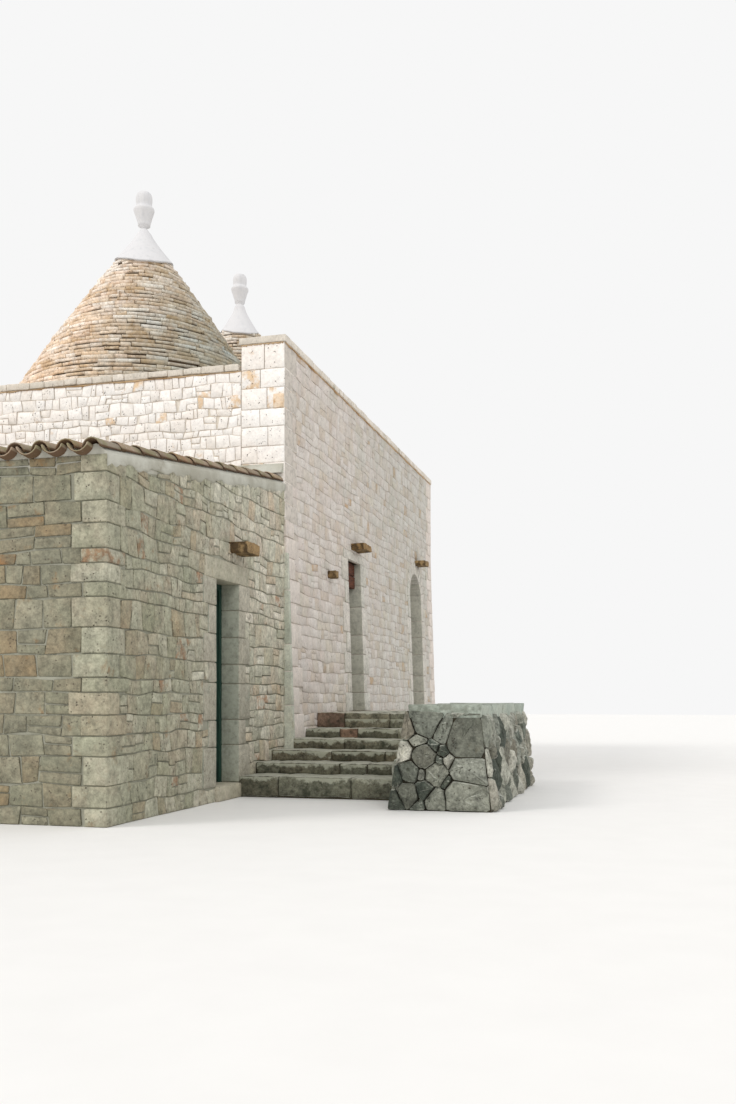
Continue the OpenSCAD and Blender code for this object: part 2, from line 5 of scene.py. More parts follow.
import bpy
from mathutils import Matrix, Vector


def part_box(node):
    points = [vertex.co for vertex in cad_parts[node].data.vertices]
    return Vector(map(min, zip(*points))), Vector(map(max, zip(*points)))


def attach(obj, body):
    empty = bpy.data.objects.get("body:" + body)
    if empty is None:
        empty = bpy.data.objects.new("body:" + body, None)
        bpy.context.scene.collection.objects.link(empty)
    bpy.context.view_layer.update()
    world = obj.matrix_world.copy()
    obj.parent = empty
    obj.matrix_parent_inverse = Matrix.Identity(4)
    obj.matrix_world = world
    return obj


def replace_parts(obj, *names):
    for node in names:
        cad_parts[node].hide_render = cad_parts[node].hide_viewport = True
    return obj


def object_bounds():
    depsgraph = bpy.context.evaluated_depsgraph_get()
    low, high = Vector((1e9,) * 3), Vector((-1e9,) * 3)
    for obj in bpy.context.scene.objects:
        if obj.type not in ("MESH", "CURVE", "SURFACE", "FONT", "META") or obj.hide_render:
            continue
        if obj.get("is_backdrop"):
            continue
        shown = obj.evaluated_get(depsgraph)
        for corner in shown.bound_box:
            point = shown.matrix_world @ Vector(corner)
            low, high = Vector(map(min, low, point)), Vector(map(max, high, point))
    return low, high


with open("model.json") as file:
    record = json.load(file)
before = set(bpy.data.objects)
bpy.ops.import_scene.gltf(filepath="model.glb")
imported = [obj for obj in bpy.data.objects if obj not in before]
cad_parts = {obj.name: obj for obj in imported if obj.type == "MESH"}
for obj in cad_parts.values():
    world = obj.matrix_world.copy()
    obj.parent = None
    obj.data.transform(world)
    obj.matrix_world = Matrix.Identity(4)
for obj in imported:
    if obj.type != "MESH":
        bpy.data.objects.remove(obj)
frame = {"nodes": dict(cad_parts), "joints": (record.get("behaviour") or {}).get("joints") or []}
cad_low, cad_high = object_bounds()
node_of = frame["nodes"]

# Place of the house
# Lengths below are metres from the corner where the annex meets the facade: x out of the
# facade, y along it to the back, z up from the lowest ground. placed() brings them to the frame.
facade_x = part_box("annex_right_wall_near")[1].x
block_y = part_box("main_front_wall")[0].y


def placed(x, y, z):
    return (x + facade_x, y + block_y, z)


# View and light
# A level camera low in front of the annex, a soft lamp high on the left and a weaker one on the
# right, an even pale surround that reads white behind the house, and a pale floor.
class Wire:
    """A socket of a node tree. Sums and products of wires and numbers add their own nodes."""

    def __init__(self, tree, socket=None):
        self.tree, self.socket = tree, socket

    def make(self, kind, settings=(), sockets=(), out=0):
        """Any other node: its settings come first, then the values or wires of its sockets."""
        node = self.tree.nodes.new(kind)
        for name, value in dict(settings).items():
            if name == "stops":
                for spare in list(node.color_ramp.elements)[1:]:
                    node.color_ramp.elements.remove(spare)
                node.color_ramp.elements[0].position = value[0][0]
                node.color_ramp.elements[0].color = value[0][1]
                for at, colour in value[1:]:
                    node.color_ramp.elements.new(at).color = colour
            else:
                setattr(node, name, value)
        for key, value in dict(sockets).items():
            socket = node.inputs[key] if isinstance(key, int) else next(
                s for s in node.inputs if key in (s.identifier, s.name))
            if isinstance(value, Wire):
                self.tree.links.new(value.socket, socket)
            else:
                socket.default_value = value
        if not node.outputs:
            return None
        return Wire(self.tree, node.outputs[out] if isinstance(out, int) else next(
            s for s in node.outputs if out in (s.identifier, s.name)))

    def join(self, operation, *ends):
        vector = any(isinstance(v, Wire) and v.socket.type in ("VECTOR", "RGBA") for v in ends)
        if vector:
            ends = [(v, v, v) if isinstance(v, (int, float)) else v for v in ends]
        kind = "ShaderNodeVectorMath" if vector else "ShaderNodeMath"
        return self.make(kind, {"operation": operation}, dict(enumerate(ends)))

    def __add__(self, other):
        return self.join("ADD", self, other)

    def __sub__(self, other):
        return self.join("SUBTRACT", self, other)

    def __rsub__(self, other):
        return self.join("SUBTRACT", other, self)

    def __mul__(self, other):
        return self.join("MULTIPLY", self, other)

    def __truediv__(self, other):
        return self.join("DIVIDE", self, other)

    __radd__, __rmul__ = __add__, __mul__


def paint(code):
    """A colour from its six hex digits, as linear light"""
    parts = [int(code[i:i + 2], 16) / 255 for i in (0, 2, 4)]
    return tuple(c / 12.92 if c <= 0.04045 else ((c + 0.055) / 1.055) ** 2.4
                 for c in parts) + (1.0,)


def new_material(name):
    """A bare material, and the wire of the place on the piece that its patterns follow"""
    material = bpy.data.materials.new(name)
    material.use_nodes = True
    material.node_tree.nodes.clear()
    return material, Wire(material.node_tree).make("ShaderNodeTexCoord", out="Object")


def noise(vector, scale, detail, roughness=0.55, out="Fac"):
    return vector.make("ShaderNodeTexNoise", (), {
        "Vector": vector, "Scale": scale, "Detail": detail, "Roughness": roughness}, out)


def tinted(mask, under, over):
    """One colour over another where the mask is 1"""
    return mask.make("ShaderNodeMix", {"data_type": "RGBA"}, {
        "Factor_Float": mask, "A_Color": under, "B_Color": over}, "Result_Color")


def added(name, data):
    piece = bpy.data.objects.new(name, data)
    bpy.context.collection.objects.link(piece)
    return piece


def mesh_of(name, points, faces=()):
    mesh = bpy.data.meshes.new(name)
    mesh.from_pydata(points, [], faces)
    return mesh


eye, eye_turn, focal_mm, film_mm, film_rise = (4.12, -11.45, 1.003), 15.17, 33.913, 36, 0.134
camera = added("camera", bpy.data.cameras.new("camera"))
camera.data.lens, camera.data.sensor_width, camera.data.shift_y = focal_mm, film_mm, film_rise
camera.location = placed(*eye)
camera.rotation_euler = (math.radians(90), 0, math.radians(eye_turn))
bpy.context.scene.camera = camera
bpy.context.scene.view_settings.view_transform = "Standard"

lamp_spread = math.radians(20)
for name, energy, tint, tilt, turn in (("key_lamp", 0.95, (1.0, 0.97, 0.93), 52, -50),
                                       ("fill_lamp", 0.55, (1.0, 0.99, 0.97), 54, 30)):
    lamp = added(name, bpy.data.lights.new(name, "SUN"))
    lamp.data.energy, lamp.data.color, lamp.data.angle = energy, tint, lamp_spread
    lamp.rotation_euler = (math.radians(tilt), 0, math.radians(turn))

ambient, backdrop = 0.89, 0.93
world = bpy.data.worlds.new("surround")
world.use_nodes = True
world.node_tree.nodes.clear()
bpy.context.scene.world = world
sky = Wire(world.node_tree)
seen = [sky.make("ShaderNodeLightPath", out=f"Is {ray} Ray")
        for ray in ("Camera", "Glossy", "Transmission")]
seen = seen[0].join("MINIMUM", seen[0] + seen[1] + seen[2], 1.0)
sky.make("ShaderNodeOutputWorld", (), {"Surface": sky.make("ShaderNodeBackground", (), {
    "Color": (1.0, 1.0, 1.0, 1.0), "Strength": seen * (backdrop - ambient) + ambient})})

floor_reach = 60.0
studio_floor = added("studio_floor", mesh_of("studio_floor", [
    (x * floor_reach, y * floor_reach, 0.0) for x, y in ((-1, -1), (1, -1), (1, 1), (-1, 1))],
    [(0, 1, 2, 3)]))
floor_paint, place = new_material("studio floor")
colour = tinted(noise(place, 3.0, 3.0, 0.5), paint("E9E8E6"), paint("EFEEEC"))
place.make("ShaderNodeOutputMaterial", (), {"Surface": place.make(
    "ShaderNodeBsdfPrincipled", (), {"Base Color": colour, "Roughness": 0.9})})
studio_floor.data.materials.append(floor_paint)
studio_floor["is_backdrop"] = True

# Annex walls
# A low room of limestone laid in lime: squared blocks along the front, rougher ones along the
# sides, in level courses that wrap the corners, with joints raked a little behind the faces.


def band(value, low, high, from_value=0.0, to_value=1.0):
    """A smooth rise between two levels"""
    return value.make("ShaderNodeMapRange", {"interpolation_type": "SMOOTHSTEP"}, {
        "Value": value, "From Min": low, "From Max": high, "To Min": from_value,
        "To Max": to_value})


def ramp(value, codes, parts):
    """Colours at even parts of the value"""
    return value.make("ShaderNodeValToRGB", {"stops": [
        (i / parts, paint(code)) for i, code in enumerate(codes)]}, {"Fac": value})


def part(vector, axis):
    return vector.make("ShaderNodeSeparateXYZ", (), {"Vector": vector}, axis)


def finished(colour, roughness, height, depth, specular=0.25):
    """The surface itself: colour, roughness and the relief of the height in metres"""
    relief = colour.make("ShaderNodeBump", (), {
        "Height": height, "Distance": depth, "Strength": 1.0})
    colour.make("ShaderNodeOutputMaterial", (), {"Surface": colour.make(
        "ShaderNodeBsdfPrincipled", (), {"Base Color": colour, "Roughness": roughness,
                                         "Specular IOR Level": specular, "Normal": relief})})


def stone_finish(name, ground, tones, own_share, stain, stain_share, line, line_share, pits,
                 moss=None, moss_share=0.0, contrast=1.0, depth=0.006, line_from=0.75,
                 shade=None, facing=None, rare=None, spots=3.2, lips=None):
    """Laid stone: tones that drift over the whole wall, each stone's own tone over them, then
    clouds, stains, pits whose hollows are painted dark as shade, and the dark line along parts of
    the joints, partly dirt and partly painted shade. A shade is the axis, the place where the
    painted shade starts, the place where it is reached, and its tint. A facing is the axis, tint
    and share of the faces turned along that axis, which take another tint, rare the tone patched
    over a stone in thirty, and lips the foot, rise and tint of a pale band painted as light along
    the top of each riser"""
    material, place = new_material(name)
    tone, rim = (place.make("ShaderNodeAttribute", {"attribute_name": label}, out="Fac")
                 for label in ("tone", "rim"))
    own = place + tone * 19.0
    clouds = noise(own, 4.5, 4.0, 0.6)
    patches = noise(place + 7.0, 9.0, 5.0, 0.66)
    mottle = noise(own, 24.0, 4.0, 0.7)
    grain = noise(place, 62.0, 4.0, 0.7)
    drift = ramp(band(noise(place, 1.3, 5.0, 0.62), 0.36, 0.64), ground, len(ground) - 1)
    colour = tinted(band(clouds, 0.3, 0.7, own_share * 0.5, own_share), drift,
                    ramp(tone, tones, len(tones)))
    if rare:
        colour = tinted(band(tone, 0.965, 0.97) * band(patches, 0.4, 0.62) * 0.8, colour,
                        paint(rare))
    colour = colour * ((clouds * 0.3 + patches * 0.45 + mottle * 0.7 + grain * 0.4 - 0.925)
                       * contrast + 1.0)
    stained = band(noise(place + 5.0, spots, 5.0, 0.66), 0.66 - 0.16 * stain_share, 0.8)
    colour = tinted(stained * min(1.0, 0.45 + stain_share), colour, paint(stain))
    hollow = place.make("ShaderNodeTexVoronoi", {"feature": "F1"}, {
        "Vector": own + grain * 0.02, "Scale": 34.0}, "Distance")
    # Pits: their hollows are painted dark, as painted shade
    pit = band(hollow, 0.30, 0.12) * band(noise(own, 11.0, 2.0), 0.5, 0.64) * pits
    colour = tinted(pit * 0.75, colour, paint("5B5145"))
    # The dark line along the stones' edges by the joints: partly dirt, partly painted shade
    marked = band(rim + (noise(place, 13.0, 4.0, 0.6) - 0.5) * 2.2, line_from, line_from + 0.4)
    colour = tinted(marked * line_share, colour, paint(line))
    if moss:
        growth = band(noise(place, spots * 0.8, 5.0, 0.68), 0.62 - 0.2 * moss_share, 0.72)
        colour = tinted(growth * 0.8, colour, paint(moss))
    # Lips: a pale band along the top of each riser, painted light
    if lips:
        foot, rise, tint = lips
        up = (part(place, "Z") - foot) / rise
        up = up.join("FRACT", up.join("MAXIMUM", up, 0.0))
        up = band(up + (noise(place, 7.0, 4.0, 0.65) - 0.5) * 2.4, 0.6, 0.9)
        colour = tinted(up * 0.8, colour, paint(tint))
    # Faces turned along the axis take another tint; the finishes below use it as painted light on
    # tops and painted shade on side faces
    if facing:
        axis, tint, share = facing
        turned = place.make("ShaderNodeVectorMath", {"operation": "DOT_PRODUCT"}, {
            0: place.make("ShaderNodeNewGeometry", out="Normal"), 1: axis}, "Value")
        turned = band(turned * turned + (mottle - 0.5) * 0.8, 0.35, 0.75)
        dim = [c * 0.7 for c in paint(tint)[:3]] + [1.0]
        colour = tinted(turned * share, colour, tinted(
            band(mottle * 0.5 + patches * 0.5, 0.36, 0.56), dim, paint(tint)))
    # Painted shade: the colour darkens and turns greyer along one axis
    if shade:
        axis, start, reached, tint = shade
        across = band(part(place, axis) + (patches - 0.5) * 1.2, start, reached)
        colour = colour * tinted(across, (1.0, 1.0, 1.0, 1.0), paint(tint))
    height = clouds * 0.3 + patches * 0.3 + mottle * 0.35 + grain * 0.3 - pit * 0.8
    finished(colour, grain * 0.2 + 0.74, height, depth)
    return material


def mortar_finish(name, light, dark, dirt_and_shade, dirt_and_shade_share, depth=0.008):
    """Lime mortar or render, trowelled by hand: sandy, blotched and stained. In the gap and
    bedding finishes below, its dark colours are painted shade
    """
    material, place = new_material(name)
    blotch = noise(place, 2.1, 5.0, 0.6)
    sand = noise(place, 95.0, 3.0, 0.7)
    trowel = noise(place, 11.0, 3.0, 0.6)
    colour = tinted(band(blotch, 0.35, 0.68), paint(light), paint(dark))
    colour = tinted(band(noise(place + 3.0, 5.5, 5.0, 0.7), 0.55, 0.78) * dirt_and_shade_share,
                    colour, paint(dirt_and_shade))
    colour = colour * (sand * 0.3 + trowel * 0.2 + 0.76)
    finished(colour, sand * 0.15 + 0.8, trowel * 0.7 + sand * 0.3, depth)
    return material


def dress(finish, *names):
    """A new finish on CAD pieces that keep their shape"""
    for name in names:
        for place in node_of[name].material_slots:
            place.material = finish


def new_tree(name, inputs, output):
    """A tree of geometry nodes, and the wires that bring in its inputs"""
    tree = bpy.data.node_groups.new(name, "GeometryNodeTree")
    for label, kind in inputs.items():
        tree.interface.new_socket(label, in_out="INPUT", socket_type="NodeSocket" + kind)
    tree.interface.new_socket(output, in_out="OUTPUT", socket_type="NodeSocketGeometry")
    return tree, {s.name: Wire(tree, s)
                  for s in tree.nodes.new("NodeGroupInput").outputs if s.name}


def carried(wire, kind, name):
    """What each point brings along under a name"""
    return wire.make("GeometryNodeInputNamedAttribute", {"data_type": kind}, {
        "Name": name}, "Attribute")


def kept(geometry, kind, name, value):
    return geometry.make("GeometryNodeStoreNamedAttribute", {
        "data_type": kind, "domain": "POINT"}, {
        "Geometry": geometry, "Name": name, "Value": value})


def handed_out(geometry, shift, finish, output):
    """Ends a tree: the shifted, smooth mesh of a finish"""
    geometry = geometry.make("GeometryNodeSetPosition", (), {
        "Geometry": geometry, "Offset": shift})
    geometry = geometry.make("GeometryNodeSetShadeSmooth", (), {"Geometry": geometry})
    geometry = geometry.make("GeometryNodeSetMaterial", (), {
        "Geometry": geometry, "Material": finish})
    tree = geometry.tree
    tree.links.new(geometry.socket, tree.nodes.new("NodeGroupOutput").inputs[output])


# The tree that lays stones: each point carries its stone's size, turn, taper, bend and tone
laid, given = new_tree("laid stones", {
    "Stones": "Geometry", "Columns": "Int", "Layers": "Int", "Rows": "Int", "Edge": "Float",
    "Chipping": "Float", "Skew": "Float", "Wander": "Float", "Finish": "Material"}, "Wall")


def triple(x, y, z):
    return given["Edge"].make("ShaderNodeCombineXYZ", (), {"X": x, "Y": y, "Z": z})


cube = given["Edge"].make("GeometryNodeMeshCube", (), {
    "Size": (2.0, 2.0, 2.0), "Vertices X": given["Columns"], "Vertices Y": given["Layers"],
    "Vertices Z": given["Rows"]}, "Mesh")
cube = kept(cube, "FLOAT_VECTOR", "local", cube.make("GeometryNodeInputPosition"))
local, size, turn, bend = (carried(cube, "FLOAT_VECTOR", label)
                           for label in ("local", "size", "turn", "bend"))
tone, taper = (carried(cube, "FLOAT", label) for label in ("tone", "taper"))
turn = turn.make("FunctionNodeEulerToRotation", (), {"Euler": turn})
half = size * 0.5
stones = cube.make("GeometryNodeInstanceOnPoints", (), {
    "Points": given["Stones"], "Instance": cube, "Rotation": turn, "Scale": half})
stones = stones.make("GeometryNodeRealizeInstances", (), {"Geometry": stones})
wide, deep, tall = (part(half, axis) for axis in "XYZ")
least = half.join("MINIMUM", half.join("MINIMUM", wide, deep), tall)
round_r = least.join("MINIMUM", given["Edge"], least * 0.9)
outer = local.join("MINIMUM", local.join("MAXIMUM", (local.join("ABSOLUTE", local) - 0.97)
                                         * 100.0, 0.0), 1.0)
sides = local.join("MAXIMUM", local.join("MINIMUM", local * 1000.0, 1.0), -1.0)
spread = triple(*((given[n] - 1.0) / given[n].join("MAXIMUM", given[n] - 3.0, 1.0)
                  for n in ("Columns", "Layers", "Rows")))
core = half - round_r
reached = local * spread * core * (1.0 - outer) + sides * half * outer
nearest = reached.join("MAXIMUM", reached.join("MINIMUM", reached, core), core * -1.0)
beyond = reached - nearest
length = beyond.make("ShaderNodeVectorMath", {"operation": "LENGTH"}, {0: beyond}, "Value")
rounded = nearest + beyond * (round_r / length.join("MAXIMUM", length, round_r))
rounded = rounded * triple(part(local, "Z") * taper + 1.0, 1.0, 1.0)
share_x, share_z = (part(rounded / half, axis) for axis in "XZ")
slide, rise, skewed = (part(bend, axis) for axis in "XYZ")
rounded = rounded + triple(slide * share_z, 0.0, rise * share_x + skewed * share_x * share_z)
shift = rounded.make("FunctionNodeRotateVector", (), {
    "Vector": rounded - local * half, "Rotation": turn})
place = stones.make("GeometryNodeInputPosition") + shift
own = place + tone * 31.0
shift = (shift + (noise(own, 17.0, 2.0, 0.5, "Color") - 0.5) * given["Chipping"] * 2.0
         + (noise(own, 4.2, 1.0, 0.5, "Color") - 0.5) * given["Skew"] * 2.0
         + (noise(place, 0.9, 1.0, 0.5, "Color") - 0.5) * given["Wander"] * 2.0)
end, face, bed = (part(outer, axis) for axis in "XYZ")
rim = end.join("MAXIMUM", end.join("MINIMUM", end, face), end.join("MINIMUM", face, bed))
rim = rim.join("MAXIMUM", rim, end.join("MINIMUM", end, bed))
handed_out(kept(stones, "FLOAT", "rim", rim), shift, given["Finish"], "Wall")


def grown(name, tree, points, columns, inputs, body="house"):
    """Runs a tree on points, each with its columns of numbers, and keeps the plain mesh"""
    piece = added(name, mesh_of(name, points))
    for label, values in columns.items():
        kind, field = (("FLOAT", "value") if len(values) == len(points)
                       else ("FLOAT_VECTOR", "vector"))
        piece.data.attributes.new(label, kind, "POINT").data.foreach_set(field, values)
    modifier = piece.modifiers.new("laid", "NODES")
    modifier.node_group = tree
    for item in tree.interface.items_tree:
        if item.in_out == "INPUT" and item.name in inputs:
            modifier[item.identifier] = inputs[item.name]
    graph = bpy.context.evaluated_depsgraph_get()
    plain = bpy.data.meshes.new_from_object(
        piece.evaluated_get(graph), preserve_all_data_layers=True, depsgraph=graph)
    piece.modifiers.clear()
    piece.data = plain
    for spare in ("local", "size", "turn", "taper", "bend"):
        if spare in plain.attributes:
            plain.attributes.remove(plain.attributes[spare])
    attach(piece, body)
    return piece


def lay(name, finish, blocks, cut=(0.012, 0.004, 0.004, 0.006), grid=(5, 2, 4), *, seed,
        body="house"):
    """A piece of laid stones. A block is its middle, size and turn, and where it isn't square
    its taper and bend, that is how far its top slides, its right end rises and its top right
    corner rises beyond that. The cut is how far edges are rounded, chipped and skewed, and how
    far the whole wall wanders. The grid is the points along, through and up a stone: one that
    shows its ends needs four through"""
    dice = random.Random(seed)
    blocks = [(*b, 0.0, (0.0, 0.0, 0.0))[:5] for b in blocks]
    labels = ("Edge", "Chipping", "Skew", "Wander", "Columns", "Layers", "Rows")
    piece = grown(name, laid, [placed(*b[0]) for b in blocks], {
        "size": [v for b in blocks for v in b[1]], "turn": [v for b in blocks for v in b[2]],
        "taper": [b[3] for b in blocks], "bend": [v for b in blocks for v in b[4]],
        "tone": [dice.random() for b in blocks]},
        {**dict(zip(labels, cut + grid)), "Finish": finish}, body)
    return piece


class Face:
    """A wall's outer face: where it starts, which way it runs and which way it looks"""

    def __init__(self, start, along, out, foot=0.0, foot_top=1.0):
        self.start, self.along, self.out = start, along, out
        self.foot, self.foot_top = foot, foot_top
        self.yaw = math.atan2(out[1], out[0]) - math.pi / 2
        self.sense = math.cos(self.yaw) * along[0] + math.sin(self.yaw) * along[1]

    def block(self, u0, u1, v0, v1, proud, depth, dice, joint, slack, taper=0.0,
              bend=(0.0, 0.0, 0.0)):
        """A stone between two places along the face and two heights"""
        middle = (v0 + v1) / 2
        push = self.foot * max(0.0, 1 - middle / self.foot_top) + (proud - depth) / 2
        lean = math.atan2(self.foot, self.foot_top) if middle < self.foot_top else 0.0
        where = [self.start[i] + self.along[i] * (u0 + u1) / 2 + self.out[i] * push
                 for i in (0, 1)]
        return ((*where, middle), (u1 - u0 - joint, depth + proud, v1 - v0 - joint),
                (lean + dice.uniform(-slack, slack), 0.0, self.yaw + dice.uniform(-slack, slack)),
                taper, tuple(v * self.sense for v in bend))


def course_levels(dice, levels, heights):
    """Heights of the beds: courses of random height that meet each given level"""
    beds = [levels[0]]
    for low, high in zip(levels, levels[1:]):
        count = max(1, round((high - low) / (sum(heights) / 2)))
        shares = [dice.uniform(*heights) for k in range(count)]
        for share in shares[:-1]:
            beds.append(beds[-1] + share * (high - low) / sum(shares))
        beds.append(high)
    return beds


def free_spans(spans, taken):
    """What is left of the spans beside the taken ones"""
    for low, high in taken:
        spans = [part for start, end in spans
                 for part in ((start, min(end, low)), (max(start, high), end))
                 if part[1] - part[0] > 0.04]
    return spans


def wave(dice, amount):
    """The slow rise and fall of a bed along a wall"""
    parts = [(amount * dice.uniform(0.3, 0.7), dice.uniform(*pace), dice.uniform(0, 6.28))
             for pace in ((1.6, 3.2), (4.0, 7.5), (9.0, 16.0))]
    return lambda u: sum(a * math.sin(f * u + start) for a, f, start in parts)


def cut_course(dice, start, end, lengths, tall, last):
    """Places of the upright joints of a course, kept clear of those of the course below"""
    span = end - start
    mean = (lengths[0] + lengths[1]) / 2 * (0.7 + 0.3 * tall / 0.15)
    shares = [dice.uniform(*lengths) for i in range(max(1, round(span / mean)))]
    cuts = [start + sum(shares[:i]) * span / sum(shares) for i in range(len(shares))] + [end]
    for i in range(1, len(shares)):
        if any(abs(cuts[i] - joint) < 0.03 for joint in last):
            cuts[i] += 0.045 if cuts[i + 1] - cuts[i] > 0.12 else -0.045
    return cuts


def coursed(dice, face, beds, reach, lengths, proud, depth=0.12, taken=None, top=None,
            joint=0.008, split=0.0, slack=0.006, unrest=0.012):
    """Stones in uneven courses along a face, their upright joints shifted from course to course
    and a little aslant; neighbours share their corners, so that they fit"""
    blocks, last = [], []
    rises = [wave(dice, unrest if 0 < k < len(beds) - 1 else 0.0) for k in range(len(beds))]
    for k, (low, high) in enumerate(zip(beds, beds[1:])):
        joints, tall = [], high - low
        for start, end in free_spans([reach], taken(low, high) if taken else []):
            cuts = cut_course(dice, start, end, lengths, tall, last)
            slants = [0.0] + [dice.uniform(-1.2, 1.2) * unrest * tall / 0.15
                              for cut in cuts[2:]] + [0.0]
            for u, after, first, second in zip(cuts, cuts[1:], slants, slants[1:]):
                feet = [low + rises[k](v) for v in (u, after)]
                heads = [high + rises[k + 1](v) for v in (u, after)]
                if top:
                    heads = [min(h, top(v)) for h, v in zip(heads, (u, after))]
                if after - u < 0.04 or min(heads[0] - feet[0], heads[1] - feet[1]) < 0.03:
                    continue
                steps = [0.0, 1.0]
                if tall > 0.12 and dice.random() < split:
                    steps.insert(1, dice.uniform(0.38, 0.62))
                for s0, s1 in zip(steps, steps[1:]):
                    left = [feet[0] + (heads[0] - feet[0]) * s for s in (s0, s1)]
                    right = [feet[1] + (heads[1] - feet[1]) * s for s in (s0, s1)]
                    below, above = (right[0] - left[0]) / 2, (right[1] - left[1]) / 2
                    blocks.append(face.block(
                        u, after, (left[0] + right[0]) / 2, (left[1] + right[1]) / 2,
                        dice.uniform(*proud), depth, dice, joint, slack,
                        (second - first) / (after - u) * (s1 - s0),
                        ((first + second) / 2 * (s1 - s0), (below + above) / 2,
                         (above - below) / 2)))
            joints += cuts[1:]
        last = joints
    return blocks


def jitter(dice, *amounts):
    """Small turns of a stone about its three axes"""
    return tuple(dice.uniform(-amount, amount) for amount in amounts)


def quoins(dice, corner, signs, beds, sizes, proud):
    """Corner stones that bind two faces, long one way and then the other"""
    blocks, joint = [], 0.008
    for k, (low, high) in enumerate(zip(beds, beds[1:])):
        a, b = (size * dice.uniform(0.85, 1.15) for size in (sizes if k % 2 else sizes[::-1]))
        out = dice.uniform(*proud)
        blocks.append((
            (corner[0] + signs[0] * ((out - a) / 2), corner[1] + signs[1] * (out - b) / 2,
             (low + high) / 2), (a + out, b + out, high - low - joint),
            jitter(dice, 0.006, 0.006, 0.006)))
    return blocks


def quoin_length(sizes, k, on_x):
    """How much of a face along x or along y the corner stones take in one course"""
    return (sizes if k % 2 else sizes[::-1])[0 if on_x else 1]


annex_l, annex_w, annex_t = 4.11, 6.5, 0.45
eaves_z, pitch, deck_thick = 2.83, math.radians(8), 0.12
deck_rise = deck_thick / math.cos(pitch)
door_low, door_high, door_sill, door_head = 2.11, 2.71, 0.15, 2.2
lintel_low, lintel_high, lintel_top = door_low - 0.26, door_high + 0.26, 2.4


def annex_top(u):
    """Top of the annex's side walls, measured from the front corner"""
    return eaves_z + u * math.tan(pitch)


def under_tiles(u):
    """Where the stones of the side walls end, behind the mortar under the tiles"""
    return annex_top(u) + 0.05


dice = random.Random(11)
annex_beds = course_levels(dice, [0.0, door_sill, 1.18, door_head], (0.09, 0.25))
front_top, side_top = eaves_z + 0.11, 3.45
annex_beds += [lintel_top, 2.575, 2.80, front_top]
rising_beds = course_levels(dice, [front_top, side_top], (0.12, 0.2))
side_beds = annex_beds + rising_beds[1:]
annex_quoin = (0.30, 0.21)
front = Face((0.0, -annex_l), (-1, 0), (0, -1))
right = Face((0.0, -annex_l), (0, 1), (1, 0))
left = Face((-annex_w, -annex_l), (0, 1), (-1, 0))

# The front's stones are given darker tones than the sides: painted shade over the front
shaded_squared_stone = stone_finish(
    "squared limestone darkened as painted shade", ["737463", "85836F", "8A836F", "797868"],
    ["82816E", "94907C", "767765", "8B816C", "81806D", "9A9581", "7C7B6A", "948C76", "877050"],
    0.65, "8E6A40", 0.5, "4B4736", 0.8, 1.0, contrast=2.2, rare="8A6440", spots=6.0)
# The shade darkens the side walls towards the front corner: painted shade
rubble_stone = stone_finish(
    "rough limestone", ["AFAE9C", "C0BCAB", "BEB3A2", "ADAC98"],
    ["B8B4A2", "CCC7B7", "AAAA97", "BFB3A2", "B7B4A2", "D2CDBE", "AEAB96", "B8A083", "D9D4C6"],
    0.65, "A07C58", 0.45, "5F594A", 0.7, 1.2, contrast=2.2, line_from=0.95, rare="9A7050",
    spots=6.0, shade=("Y", placed(0, -0.8, 0)[1], placed(0, -3.4, 0)[1], "D2D4CC"))
raked_mortar = mortar_finish("lime mortar in the joints", "A09F90", "8A897A", "56524A", 0.7)
inside_lime = mortar_finish("old lime render", "CFC8BA", "B9B2A4", "6E675B", 0.3)


def corner_share(beds, length, sizes, first_end, last_end, on_x):
    """What the corner stones take of each course, at the ends that have them"""
    def taken(low, high):
        k = min(range(len(beds) - 1), key=lambda i: abs(beds[i] - low))
        share = quoin_length(sizes, k, on_x)
        return ([(-1.0, share)] if first_end else []) + (
            [(length - share, length + 1)] if last_end else [])
    return taken


lay("annex_front_stones", shaded_squared_stone, coursed(
    dice, front, annex_beds, (0.0, annex_w), (0.14, 0.34), (0.007, 0.013), split=0.25,
    unrest=0.016, taken=corner_share(annex_beds, annex_w, annex_quoin, True, True, True)),
    (0.009, 0.004, 0.004, 0.003), seed=3)

# Stones beside the doorway, long and short in turn, run back to the timber frame
jamb_beds = [door_sill, 0.54, 0.80, 1.17, 1.37, 1.65, 1.93, door_head]
annex_jambs = (0.30, 0.18), jamb_beds
jamb_proud, jamb_lap, jamb_depth = 0.016, 0.014, 0.186


def jamb_length(v, sizes, beds):
    return sizes[sum(1 for bed in beds[1:-1] if v >= bed) % 2]


def jamb_blocks(face, low_side, high_side, jambs, depth_at, slack):
    """The stones at both sides of a doorway, a little proud of its opening"""
    blocks = []
    for low, high in zip(jambs[1], jambs[1][1:]):
        middle = (low + high) / 2
        reach = jamb_length(middle, *jambs)
        for start, end in ((low_side - reach, low_side + jamb_lap),
                           (high_side - jamb_lap, high_side + reach)):
            blocks.append(face.block(start, end, low, high, jamb_proud, depth_at(middle), dice,
                                     0.006, slack))
    return blocks


def annex_taken(low, high):
    middle = (low + high) / 2
    taken = corner_share(side_beds, annex_l, annex_quoin, True, False, False)(low, high)
    if door_sill - 0.01 < middle < door_head:
        reach = jamb_length(middle, *annex_jambs)
        taken.append((door_low - reach, door_high + reach))
    elif middle <= door_sill:
        taken.append((door_low, door_high))
    elif middle < lintel_top:
        taken.append((lintel_low, lintel_high))
    return taken


